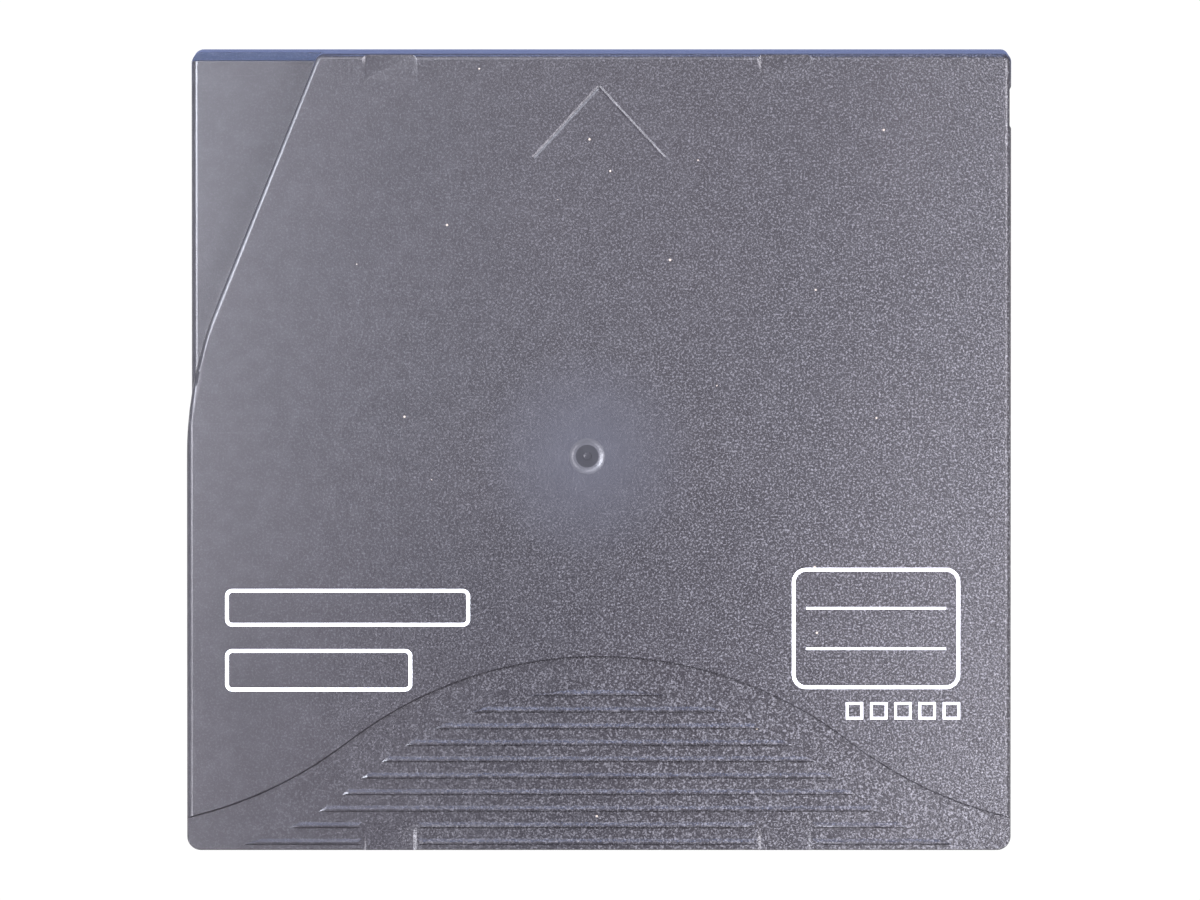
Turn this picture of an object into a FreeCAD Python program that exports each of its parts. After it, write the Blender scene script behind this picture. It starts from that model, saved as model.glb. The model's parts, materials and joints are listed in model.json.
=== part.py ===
import FreeCAD, Part
import Sketcher
import math
import os
import re

# A half-inch single-reel data tape cartridge.
# X runs to the right, Y towards the end that enters the drive, Z up.
# The origin is the middle of the underside.

doc = FreeCAD.newDocument("data_tape_cartridge")
dims = doc.addObject("Spreadsheet::Sheet", "dims")

driving = [
    # Case
    ("case_width", 105.4, "across the side walls"),
    ("case_length", 102.0, "front to rear"),
    ("case_height", 21.5, "underside to top face"),
    ("split_height", 10.4, "where the two shells meet"),
    ("side_wall", 1.8, "side, front and rear walls"),
    ("top_wall", 1.7, "top plate"),
    ("bottom_wall", 1.7, "bottom plate"),
    ("rear_corner", 1.8, "upright corners at the rear"),
    ("front_corner", 1.05, "upright corners at the front"),
    ("edge_round", 0.8, "round along the top and bottom edges"),
    ("seam_depth", 0.2, "groove along the split"),
    ("seam_width", 0.3, "groove along the split"),
    ("lap_depth", 1.0, "lip of the lower shell inside the upper one"),
    ("lap_skin", 1.0, "outer skin left beside the lip"),
    ("lap_gap", 0.05, "play around the lip"),
    # Guide step in the front left corner
    ("guide_side_inset", 0.6, "side wall set in beside the step"),
    ("guide_front_inset", 1.0, "front wall set back beside the step, down to the lead-in slope"),
    ("guide_lead", 4.0, "lead-in slope below the step's lower face"),
    ("guide_depth", 2.5, "drop from the top face"),
    ("guide_angle", 22.0, "slant of the step, degrees from Y"),
    ("guide_edge", 0.6, "round along the top edge of the step wall"),
    ("guide_corner", 1.3, "upright corner of the step"),
    ("guide_front_corner", 1.4, "upright corner where the step wall meets the front wall"),
    ("guide_wall", 1.5, "wall between step and reel chamber"),
    # Finger grip at the rear
    ("grip_depth", 0.35, "drop into the bell-shaped grip area"),
    ("grip_peak", 24.75, "height of the bell above the rear edge"),
    ("grip_radius", 52.5, "crown of the bell"),
    ("grip_shoulder", 32.0, "where the bell's curve reverses"),
    ("grip_flare", 53.8, "foot of the bell"),
    ("grip_step_width", 0.2, "width of the step around the bell"),
    ("rib_peak", 20.7, "height of the ribbed area"),
    ("rib_radius", 46.0, "crown of the ribbed area"),
    ("rib_shoulder", 31.0, "where the ribbed area's curve reverses"),
    ("rib_flare", 35.0, "foot of the ribbed area"),
    ("rib_first", 0.74, "first rib above the rear edge"),
    ("rib_pitch", 2.115, "rib to rib"),
    ("rib_width", 0.75, "one rib"),
    ("rib_height", 0.27, "one rib"),
    ("rib_front_width", 0.4, "width of a rib's soft front side"),
    ("rib_rear_width", 0.15, "width of a rib's steep rear side"),
    ("rib_end_length", 0.5, "length of a rib's slanted ends"),
    ("rib_total", 10, "ribs on each face"),
    ("side_rib_depth", 0.2, "scallops in the side walls"),
    ("side_rib_total", 5, "ribs on each side wall"),
    ("side_rib_margin", 3.0, "plain band above and below the side ribs"),
    # Shallow pads at the front and rear edges
    ("pad_width", 5.9, "floor of a pad"),
    ("pad_spacing", 50.5, "left pad to right pad"),
    ("pad_front_length", 3.7, "pads at the front edge"),
    ("pad_rear_length", 3.9, "pads at the rear edge"),
    ("pad_depth", 0.3, "below the face around it"),
    ("pad_side_width", 0.6, "width of its sloped sides"),
    # Insertion arrow
    ("arrow_tip", 4.2, "tip behind the front edge"),
    ("arrow_half_width", 8.4, "middle to either end"),
    ("arrow_length", 9.1, "tip to ends"),
    ("arrow_line", 0.5, "width of the engraved line"),
    ("arrow_depth", 0.15, "depth of the engraved line"),
    # Moulding gate over the reel axis
    ("gate_mouth", 2.35, "radius at the top face"),
    ("gate_floor", 1.42, "radius at the floor"),
    ("gate_depth", 0.35, "depth of the dimple"),
    ("gate_nub", 0.45, "radius of the trimmed sprue"),
    ("gate_nub_height", 0.15, "height of the trimmed sprue"),
    # Label recess and write-protect window in the rear wall
    ("label_left_margin", 19.7, "label recess from the left-hand face"),
    ("label_right_margin", 6.7, "label recess from the right-hand face"),
    ("label_margin", 2.6, "label recess to top and bottom"),
    ("label_depth", 0.3, "depth of the label recess"),
    ("protect_side", 6.2, "write-protect window from the left-hand face"),
    ("protect_width", 9.0, "length of the write-protect window"),
    ("protect_low", 3.5, "underside of the window above the base"),
    ("protect_height", 4.4, "height of the window"),
    ("protect_gap", 0.2, "play of the slider"),
    ("protect_travel", 4.3, "stroke of the slider"),
    ("protect_plate", 1.2, "thickness of the slider's plate"),
    ("protect_overlap", 1.1, "plate beyond the window's edge"),
    ("protect_ridge", 0.35, "finger ridges on the slider"),
    # Reel
    ("reel_x", -1.5, "reel axis"),
    ("reel_y", -0.5, "reel axis"),
    ("flange_side_gap", 0.7, "flanges to the nearest wall of the case"),
    ("flange_thickness", 1.0, "both flanges"),
    ("flange_share", 0.45, "share of the spare height that lies under the reel"),
    ("hub_radius", 22.0, "winding surface"),
    ("hub_bore", 19.5, "inside of the hub"),
    ("hub_floor", 1.9, "thickness of the hub's floor"),
    ("hub_drop", 0.4, "hub floor into the opening of the case"),
    ("rim_width", 2.2, "ring of the hub that rests on the case"),
    ("tape_width", 12.65, "half-inch tape"),
    ("tape_gap", 0.15, "room for the tape between the flanges"),
    ("pack_margin", 1.5, "wound tape inside the edge of the flanges"),
    ("opening_radius", 20.2, "drive opening in the bottom plate"),
    ("opening_gap", 0.4, "hub to the edge of the opening"),
    ("opening_chamfer", 0.5, "edge of the opening"),
    # Clutch teeth and steel plate under the hub
    ("gear_inner", 15.6, "clutch teeth"),
    ("gear_outer", 19.0, "clutch teeth"),
    ("gear_height", 0.8, "clutch teeth"),
    ("gear_half_width", 0.62, "half of one tooth space at its mouth"),
    ("tooth_total", 60, "clutch teeth, and brake teeth"),
    ("plate_inner", 4.0, "hole in the clutch plate"),
    ("plate_outer", 14.8, "clutch plate"),
    ("plate_thickness", 0.8, "clutch plate"),
    ("peg_radius", 1.0, "pegs that hold the clutch plate"),
    ("peg_circle", 9.5, "pegs from the reel axis"),
    ("peg_gap", 0.05, "peg to its hole"),
    ("peg_total", 3, "pegs"),
    ("peg_angle", 60.0, "first peg from X, degrees"),
    # Brake
    ("brake_inner", 10.0, "brake teeth"),
    ("brake_outer", 13.0, "brake teeth"),
    ("brake_tooth_height", 0.7, "brake teeth"),
    ("brake_half_width", 0.45, "half of one tooth space at its mouth"),
    ("brake_gap", 0.12, "play between the two rings of teeth"),
    ("brake_seat", 4.4, "toothed segments above the hub floor"),
    ("brake_disc", 1.9, "thickness of the brake's disc"),
    ("brake_disc_edge", 0.6, "disc beyond its teeth"),
    ("brake_sleeve", 7.2, "outside of the sleeve"),
    ("brake_sleeve_room", 2.0, "lifted sleeve to the ceiling"),
    ("brake_boss", 3.2, "boss that sits on the release pad"),
    ("brake_travel", 1.8, "lift of brake and release pad"),
    ("key_half_length", 4.3, "cross-shaped key of the upper shell"),
    ("key_half_width", 0.85, "cross-shaped key of the upper shell"),
    ("key_gap", 0.25, "key to its slot in the brake"),
    ("key_slot_floor", 0.5, "slot's floor above the disc"),
    ("brake_coil", 9.0, "mean radius of the brake spring"),
    ("brake_wire", 0.35, "wire radius of the brake spring"),
    ("brake_turns", 5.5, "turns of the brake spring"),
    ("spring_seat", 0.8, "ring around the spring's upper end"),
    # Release pad
    ("release_thickness", 1.6, "plate and arms"),
    ("release_centre", 5.0, "radius of the middle"),
    ("release_arm", 3.2, "width of an arm"),
    ("release_leg", 1.5, "radius of a leg"),
    ("release_circle", 17.3, "legs from the reel axis"),
    ("release_gap", 0.3, "leg to its hole"),
    ("release_arm_gap", 0.6, "arm to the toothed segments"),
    ("release_rise", 0.4, "leg tip above the tooth tips"),
    ("release_total", 3, "arms"),
    # Chamber walls that keep the reel near the middle
    ("chamber_gap", 1.2, "chamber wall to flange"),
    ("chamber_wall", 1.0, "thickness of the chamber wall"),
    ("chamber_reach", 5.0, "upper chamber walls below the upper flange"),
    # Sliding door in the right-hand wall
    ("window_front", 4.0, "front end of the window behind the front face"),
    ("window_length", 30.0, "length of the window"),
    ("window_low", 3.2, "window above the underside"),
    ("window_high", 3.2, "window below the top face"),
    ("door_wall", 1.3, "side wall where the door runs"),
    ("door_gap", 0.3, "play around the door"),
    ("door_thickness", 1.2, "door"),
    ("door_front_lap", 0.9, "door beyond the front of the window"),
    ("door_rear_lap", 2.5, "door beyond the rear of the window"),
    ("door_travel", 28.0, "stroke of the door"),
    ("door_tab_length", 1.5, "tab that the drive pushes"),
    ("door_tab_height", 4.5, "tab that the drive pushes"),
    ("door_lug", 1.3, "lug that pushes the spring"),
    ("door_rail", 0.4, "rails that keep the door upright"),
    ("door_rail_height", 1.2, "rails that keep the door upright"),
    ("door_coil", 1.1, "mean radius of the door spring"),
    ("door_wire", 0.16, "wire radius of the door spring"),
    ("door_turns", 24, "turns of the door spring"),
    ("door_nub", 0.6, "nubs that hold the spring's ends"),
    ("door_nub_length", 2.5, "nubs that hold the spring's ends"),
    ("door_stop", 21.0, "spring stop in front of the rear face"),
    ("door_stop_thickness", 1.5, "spring stop"),
    ("grab_start", 4.2, "shallow dip beside the leader pin, from the front face"),
    ("grab_length", 5.4, "shallow dip beside the leader pin"),
    ("grab_depth", 0.2, "shallow dip beside the leader pin"),
    # Leader pin, its clip, its springs and the leader tape
    ("pin_side", 5.8, "pin axis inside the right-hand face"),
    ("pin_front", 6.6, "pin axis behind the front face"),
    ("pin_radius", 1.05, "shaft of the pin"),
    ("pin_flange", 1.9, "radius of the pin's ends"),
    ("pin_flange_thickness", 0.8, "ends of the pin"),
    ("pin_gap", 0.3, "pin to the ceiling"),
    ("clip_wall", 0.6, "clip around the pin"),
    ("clip_slit", 0.6, "slit where the tape leaves the clip"),
    ("leader_thickness", 0.2, "leader tape"),
    ("leader_gap", 0.15, "leader tape to the wound tape"),
    ("holder_thickness", 0.25, "strip of a pin spring"),
    ("holder_height", 0.9, "strip of a pin spring"),
    ("holder_gap", 0.1, "strip to the pin"),
    ("holder_front_gap", 2.0, "strip ahead of the pin's end"),
    ("holder_reach", 7.7, "strip along the front wall"),
    ("holder_tail", 3.7, "strip behind its bend"),
    ("holder_post", 0.8, "post that holds the strip"),
    ("socket_wall", 0.8, "wall around each end of the pin"),
    ("socket_gap", 0.2, "socket to the pin"),
    ("socket_height", 1.4, "socket"),
    # Memory board in the rear right corner
    ("board_side_gap", 13.7, "middle of the board from the right-hand face"),
    ("board_side", 10.0, "edge of the square board"),
    ("board_thickness", 0.8, "board"),
    ("board_front", 9.4, "lower edge of the board from the rear face"),
    ("board_rib", 1.0, "ribs that carry the board"),
    ("board_rib_spacing", 7.0, "rib to rib"),
    ("chip_side", 3.2, "memory chip"),
    ("chip_thickness", 0.6, "memory chip"),
    # Screws
    ("screw_head", 2.0, "radius of the head"),
    ("screw_head_height", 1.5, "head"),
    ("screw_shank", 0.95, "radius of the shank"),
    ("screw_length", 9.5, "shank"),
    ("screw_point", 1.0, "tip of the shank"),
    ("screw_recess", 1.1, "half length of the cross recess"),
    ("screw_recess_width", 0.6, "cross recess"),
    ("screw_recess_depth", 0.8, "cross recess"),
    ("screw_seat", 3.2, "seat of the head above the underside"),
    ("screw_head_gap", 0.2, "head to its counterbore"),
    ("screw_shank_gap", 0.2, "shank to its hole in the lower shell"),
    ("boss_radius", 3.2, "lower screw boss"),
    ("upper_boss_radius", 2.6, "upper screw boss"),
    ("screw_left", 8.7, "front left screw from the side face"),
    ("screw_left_front", 9.0, "front left screw from the front face"),
    ("screw_right", 16.7, "front right screw from the side face"),
    ("screw_right_front", 6.0, "front right screw from the front face"),
    ("screw_rear_side", 5.5, "rear screws from the side faces"),
    ("screw_rear", 13.5, "rear screws from the rear face"),
    # Locating hole and slot in the underside
    ("locate_radius", 2.5, "hole, and half the width of the slot"),
    ("locate_depth", 3.5, "both"),
    ("locate_wall", 0.9, "boss around both"),
    ("locate_roof", 1.0, "plate over both"),
    ("locate_left", 6.3, "hole from the left-hand face"),
    ("locate_front", 19.5, "hole from the front face"),
    ("slot_right", 14.2, "slot from the right-hand face"),
    ("slot_front", 15.0, "slot from the front face"),
    ("slot_stretch", 1.5, "length of the slot's straight sides"),
]

worked_out = [
    ("half_width", "=case_width / 2"),
    ("half_length", "=case_length / 2"),
    ("ceiling", "=case_height - top_wall"),
    ("guide_level", "=case_height - guide_depth"),
    ("guide_ceiling", "=guide_level - top_wall"),
    ("bulge_radius", "=half_width + reel_x"),
    ("label_left", "=label_left_margin - half_width"),
    ("label_right", "=half_width - label_right_margin"),
    ("protect_left", "=protect_side - half_width"),
    ("board_x", "=half_width - board_side_gap"),
    ("hub_bottom", "=bottom_wall - hub_drop"),
    ("hub_inside", "=hub_bottom + hub_floor"),
    ("gear_tip", "=hub_bottom - gear_height"),
    ("rim_inner", "=opening_radius - opening_gap"),
    ("rim_outer", "=opening_radius + rim_width"),
    ("side_room", "=min(half_width - abs(reel_x); half_length - abs(reel_y)) - side_wall"),
    ("flange_radius", "=side_room - flange_side_gap"),
    ("pack_radius", "=flange_radius - pack_margin"),
    ("spare_height", "=ceiling - bottom_wall - tape_width - tape_gap - 2 * flange_thickness"),
    ("lower_flange_low", "=bottom_wall + flange_share * spare_height"),
    ("lower_flange_top", "=lower_flange_low + flange_thickness"),
    ("pack_top", "=lower_flange_top + tape_width"),
    ("upper_flange_low", "=pack_top + tape_gap"),
    ("upper_flange_top", "=upper_flange_low + flange_thickness"),
    ("plate_low", "=hub_bottom - plate_thickness"),
    ("release_top", "=hub_inside + release_thickness"),
    ("segment_top", "=hub_inside + brake_seat"),
    ("brake_disc_low", "=segment_top + brake_gap"),
    ("brake_disc_top", "=brake_disc_low + brake_disc"),
    ("brake_disc_outer", "=brake_outer + brake_disc_edge"),
    ("brake_sleeve_top", "=ceiling - brake_travel - brake_sleeve_room"),
    ("key_low", "=brake_disc_top + key_slot_floor + brake_travel + key_gap"),
    ("pin_x", "=half_width - pin_side"),
    ("pin_y", "=half_length - pin_front"),
    ("pin_top", "=ceiling - pin_gap"),
    ("pin_lower_end", "=bottom_wall + pin_flange_thickness"),
    ("pin_upper_end", "=pin_top - pin_flange_thickness"),
    ("door_outer", "=half_width - door_wall - door_gap"),
    ("door_inner", "=door_outer - door_thickness"),
    ("window_end", "=half_length - window_front"),
    ("window_start", "=window_end - window_length"),
    ("door_start", "=window_start - door_rear_lap"),
    ("door_end", "=window_end + door_front_lap"),
    ("door_stop_y", "=door_stop - half_length"),
    ("coil_x", "=door_outer - door_gap - door_coil - door_wire"),
    ("coil_z", "=(bottom_wall + ceiling) / 2"),
    ("head_low", "=screw_seat - screw_head_height"),
    ("shank_end", "=screw_seat + screw_length - screw_point"),
    ("screw_tip", "=screw_seat + screw_length"),
    ("locate_x", "=locate_left - half_width"),
    ("locate_y", "=half_length - locate_front"),
    ("slot_x", "=half_width - slot_right"),
    ("slot_y", "=half_length - slot_front"),
]

for row, (alias, value, note) in enumerate(driving, start=1):
    dims.set(f"A{row}", alias)
    dims.set(f"B{row}", str(value))
    dims.set(f"C{row}", note)
    dims.setAlias(f"B{row}", alias)
for row, (alias, formula) in enumerate(worked_out, start=len(driving) + 2):
    dims.set(f"A{row}", alias)
    dims.set(f"B{row}", formula)
    dims.setAlias(f"B{row}", alias)
doc.recompute()

aliases = {entry[0] for entry in driving + worked_out}
up = FreeCAD.Vector(0, 0, 1)


def size(alias):
    """The present value of one cell of the sheet."""
    return float(dims.get(alias))


def point(x, y, z=0.0):
    return FreeCAD.Vector(x, y, z)


def linked(text):
    """Turns an expression in plain aliases into one that other objects can read."""

    def full_name(word):
        return "dims." + word.group() if word.group() in aliases else word.group()

    return re.sub(r"[a-z_]+", full_name, text)


# Solids bound to the sheet


def box(name, x, y, z):
    """A block between two expressions along each axis."""
    solid = doc.addObject("Part::Box", name)
    for side, axis, (low, high) in (("Length", "x", x), ("Width", "y", y), ("Height", "z", z)):
        solid.setExpression(side, linked(f"({high}) - ({low})"))
        solid.setExpression("Placement.Base." + axis, linked(low))
    return solid


def rod(name, radius, x, y, z):
    """An upright cylinder between two heights."""
    solid = doc.addObject("Part::Cylinder", name)
    low, high = z
    solid.setExpression("Radius", linked(radius))
    solid.setExpression("Height", linked(f"({high}) - ({low})"))
    for axis, value in (("x", x), ("y", y), ("z", low)):
        solid.setExpression("Placement.Base." + axis, linked(value))
    return solid


def funnel(name, lower_radius, upper_radius, x, y, z):
    """An upright cone between two heights."""
    solid = doc.addObject("Part::Cone", name)
    low, high = z
    solid.setExpression("Radius1", linked(lower_radius))
    solid.setExpression("Radius2", linked(upper_radius))
    solid.setExpression("Height", linked(f"({high}) - ({low})"))
    for axis, value in (("x", x), ("y", y), ("z", low)):
        solid.setExpression("Placement.Base." + axis, linked(value))
    return solid


def turned(name, outline, x, y):
    """A body of revolution about an upright axis. The outline holds radius and height cells;
    a radius of None lies on the axis."""
    body = doc.addObject("PartDesign::Body", name + "_body")
    sketch = body.newObject("Sketcher::SketchObject", name + "_section")
    plane = next(part for part in body.Origin.OriginFeatures if part.Role == "XZ_Plane")
    sketch.AttachmentSupport = [(plane, "")]
    sketch.MapMode = "FlatFace"
    corners = [point(size(radius) if radius else 0.0, size(height)) for radius, height in outline]
    for index, corner in enumerate(corners):
        sketch.addGeometry(Part.LineSegment(corner, corners[(index + 1) % len(corners)]))
    for index in range(len(corners)):
        following = (index + 1) % len(corners)
        sketch.addConstraint(Sketcher.Constraint("Coincident", index, 2, following, 1))
    for index, (radius, height) in enumerate(outline):
        if radius:
            across = sketch.addConstraint(Sketcher.Constraint("DistanceX", -1, 1, index, 1, size(radius)))
            sketch.setExpression(f"Constraints[{across}]", "dims." + radius)
        else:
            sketch.addConstraint(Sketcher.Constraint("PointOnObject", index, 1, -2))
        rise = sketch.addConstraint(Sketcher.Constraint("DistanceY", -1, 1, index, 1, size(height)))
        sketch.setExpression(f"Constraints[{rise}]", "dims." + height)
    turning = body.newObject("PartDesign::Revolution", name + "_turning")
    turning.Profile = (sketch, [""])
    turning.ReferenceAxis = (sketch, ["V_Axis"])
    turning.Angle = 360.0
    body.Tip = turning
    body.setExpression("Placement.Base.x", linked(x))
    body.setExpression("Placement.Base.y", linked(y))
    return body


def nub(name, rear, front):
    """A round nub along Y that holds one end of the door spring."""
    solid = doc.addObject("Part::Cylinder", name)
    solid.Placement.Rotation = FreeCAD.Rotation(point(1, 0, 0), -90)
    solid.setExpression("Radius", linked("door_nub"))
    solid.setExpression("Height", linked(f"({front}) - ({rear})"))
    for axis, value in (("x", "coil_x"), ("y", rear), ("z", "coil_z")):
        solid.setExpression("Placement.Base." + axis, linked(value))
    return solid


def shaped(name, shape):
    """A solid whose curved outline is worked out here from the sheet's values."""
    solid = doc.addObject("Part::Feature", name)
    solid.Shape = shape
    return solid


def fuse(name, *pieces):
    joined = doc.addObject("Part::MultiFuse", name)
    joined.Shapes = list(pieces)
    joined.Refine = True
    return joined


def cut(name, base, *tools):
    """The base less its tools."""
    tool = tools[0] if len(tools) == 1 else fuse(name + "_tools", *tools)
    left = doc.addObject("Part::Cut", name)
    left.Base = base
    left.Tool = tool
    left.Refine = True
    return left


def common(name, *pieces):
    shared = doc.addObject("Part::MultiCommon", name)
    shared.Shapes = list(pieces)
    return shared


# Outlines


def prism(points, low, high):
    """A straight-sided upright block over a closed run of points."""
    corners = [point(x, y, low) for x, y in points]
    face = Part.Face(Part.makePolygon(corners + corners[:1]))
    return face.extrude(up * (high - low))


def tapered_block(x, y, z, slope_x, slope_front, slope_rear):
    """A pocket with sloped sides: x and y bound its lower face, and each slope widens it at the top."""
    (left, right), (rear, front), (low, high) = x, y, z
    lower = [
        point(left, rear, low),
        point(right, rear, low),
        point(right, front, low),
        point(left, front, low),
    ]
    upper = [
        point(left - slope_x, rear - slope_rear, high),
        point(right + slope_x, rear - slope_rear, high),
        point(right + slope_x, front + slope_front, high),
        point(left - slope_x, front + slope_front, high),
    ]
    rings = [Part.makePolygon(ring + ring[:1]) for ring in (lower, upper)]
    return Part.makeLoft(rings, True, True)


def rounded_block(x, y, z, corners, edge):
    """A block with upright corners rounded by radius, in the order rear left, rear right, front right
    and front left, and then its top and bottom edges rounded."""
    block = Part.makeBox(x[1] - x[0], y[1] - y[0], z[1] - z[0], point(x[0], y[0], z[0]))
    places = [(x[0], y[0]), (x[1], y[0]), (x[1], y[1]), (x[0], y[1])]
    for place, radius in zip(places, corners):
        if radius:
            upright = [
                line
                for line in block.Edges
                if line.BoundBox.ZLength > (z[1] - z[0]) / 2
                and math.hypot(line.CenterOfMass.x - place[0], line.CenterOfMass.y - place[1]) < 1e-6
            ]
            block = block.makeFillet(radius, upright)
    level = [line for line in block.Edges if line.BoundBox.ZLength < 1e-6]
    return block.makeFillet(edge, level)


def tall_outline(radius, level):
    """Everything right of the guide step: the reel's circle, the step's straight run and its corner."""
    slant = math.radians(size("guide_angle"))
    beyond, front = size("case_width"), size("half_length")
    corner = size("guide_front_corner")
    reel_x, reel_y = size("reel_x"), size("reel_y")
    start = point(reel_x - radius, reel_y, level)
    halfway = point(
        reel_x - radius * math.cos(slant / 2), reel_y + radius * math.sin(slant / 2), level
    )
    leave = point(reel_x - radius * math.cos(slant), reel_y + radius * math.sin(slant), level)
    run = (front - corner - leave.y + corner * math.sin(slant)) / math.cos(slant)
    bend = leave + point(math.sin(slant), math.cos(slant)) * run
    centre = bend + point(math.cos(slant), -math.sin(slant)) * corner
    half_turn = (1.5 * math.pi - slant) / 2
    halfway_round = centre + point(math.cos(half_turn), math.sin(half_turn)) * corner
    corners = [
        point(centre.x, front, level),
        point(beyond, front, level),
        point(beyond, -beyond, level),
        point(-beyond, -beyond, level),
        point(-beyond, reel_y, level),
        start,
    ]
    edges = [
        Part.Arc(start, halfway, leave).toShape(),
        Part.LineSegment(leave, bend).toShape(),
        Part.Arc(bend, halfway_round, corners[0]).toShape(),
    ]
    for first, second in zip(corners[:-1], corners[1:]):
        edges.append(Part.LineSegment(first, second).toShape())
    return Part.Wire(edges)


def tall_block(inset, low, high):
    return Part.Face(tall_outline(size("bulge_radius") - inset, low)).extrude(up * (high - low))


def bell_outline(widen, level):
    """The bell-shaped grip area at the rear edge, widened all round, as a closed wire."""
    rear, side = -size("half_length"), size("half_width") + size("edge_round")
    crown, turn = size("grip_radius"), size("grip_shoulder")
    crown_centre = rear + size("grip_peak") - crown
    turn_rise = math.sqrt(crown**2 - turn**2)
    reach = 1 + size("grip_flare") / crown
    flare_x, flare_y = turn * reach, crown_centre + turn_rise * reach
    growth = (crown + widen) / crown
    crown, flare = crown + widen, size("grip_flare") - widen
    join = point(turn * growth, crown_centre + turn_rise * growth, level)

    def foot(across):
        return flare_y - math.sqrt(flare**2 - (flare_x - across) ** 2)

    middle = (join.x + side) / 2
    low = foot(side) - size("grip_peak")
    corners = [point(side, foot(side), level), point(side, low, level), point(-side, low, level)]
    corners.append(point(-side, foot(side), level))
    peak = point(0, crown_centre + crown, level)
    edges = [
        Part.Arc(corners[3], point(-middle, foot(middle), level), point(-join.x, join.y, level)).toShape(),
        Part.Arc(point(-join.x, join.y, level), peak, join).toShape(),
        Part.Arc(join, point(middle, foot(middle), level), corners[0]).toShape(),
    ]
    for first, second in zip(corners[:-1], corners[1:]):
        edges.append(Part.LineSegment(first, second).toShape())
    return Part.Wire(edges)


def rib_reach(height):
    """Half the length of a grip rib at a height above the rear edge."""
    crown, turn, flare = size("rib_radius"), size("rib_shoulder"), size("rib_flare")
    crown_centre = size("rib_peak") - crown
    rise = math.sqrt(crown**2 - turn**2)
    if height > crown_centre + rise:
        return math.sqrt(crown**2 - (height - crown_centre) ** 2)
    reach = 1 + flare / crown
    flare_centre = crown_centre + rise * reach
    return turn * reach - math.sqrt(flare**2 - (flare_centre - height) ** 2)


def grip_ribs(base, height):
    """The ribs, standing on the grip area, with a soft front side and a steep rear side. Their ends are
    cut aslant, along the edge of the ribbed area."""
    width, end_width = size("rib_width"), size("rib_end_length")
    ribs = []
    for index in range(int(size("rib_total"))):
        above = size("rib_first") + index * size("rib_pitch")
        rear_half, front_half = rib_reach(above), rib_reach(above + width)
        rings = []
        for level, inset, rear_edge, front_edge in (
            (base, 0.0, 0.0, width),
            (base + height, end_width, size("rib_rear_width"), width - size("rib_front_width")),
        ):
            ring = []
            for side, place in ((-1, rear_edge), (1, rear_edge), (1, front_edge), (-1, front_edge)):
                half = rear_half + (front_half - rear_half) * place / width - inset
                ring.append(point(side * half, above + place - size("half_length"), level))
            rings.append(Part.makePolygon(ring + ring[:1]))
        ribs.append(Part.makeLoft(rings, True, True))
    return Part.makeCompound(ribs)


def around_reel(piece, total):
    """Copies of one piece, evenly turned about the reel axis."""
    centre = point(size("reel_x"), size("reel_y"))
    copies = []
    for index in range(total):
        copy = piece.copy()
        copy.rotate(centre, up, 360.0 * index / total)
        copies.append(copy)
    return copies


def tooth_wedges(inner, outer, half_width, level, height, root):
    """Radial wedges about the reel axis: the mouth lies at level, the point a height away from it, and the
    root runs the other way so that the wedges cut or join cleanly."""
    centre = point(size("reel_x"), size("reel_y"))
    section = [
        point(inner, -half_width, level),
        point(inner, -half_width, level - root),
        point(inner, half_width, level - root),
        point(inner, half_width, level),
        point(inner, 0, level + height),
    ]
    face = Part.Face(Part.makePolygon(section + section[:1]))
    wedge = face.extrude(point(outer - inner, 0))
    wedge.translate(centre)
    return Part.makeCompound(around_reel(wedge, int(size("tooth_total"))))


def ring_sector(inner, outer, start, sweep, low, high):
    """Part of an upright ring about the reel axis, between two angles."""
    centre = point(size("reel_x"), size("reel_y"), low)
    disc = Part.makeCylinder(outer, high - low, centre, up, sweep)
    hole = Part.makeCylinder(inner, high - low, centre, up, sweep)
    sector = disc.cut(hole)
    sector.rotate(centre, up, start)
    return sector


def coil(radius, wire, length, turns):
    """A helical spring standing on the origin along Z."""
    pitch = (length - 2 * wire) / turns
    path = Part.makeHelix(pitch, pitch * turns, radius)
    path.translate(up * wire)
    climb = point(0, 2 * math.pi * radius, pitch)
    section = Part.Wire(Part.Circle(point(radius, 0, wire), climb, wire).toShape())
    return Part.Wire(path.Edges).makePipeShell([section], True, True)


# The whole case, before it is parted


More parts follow.
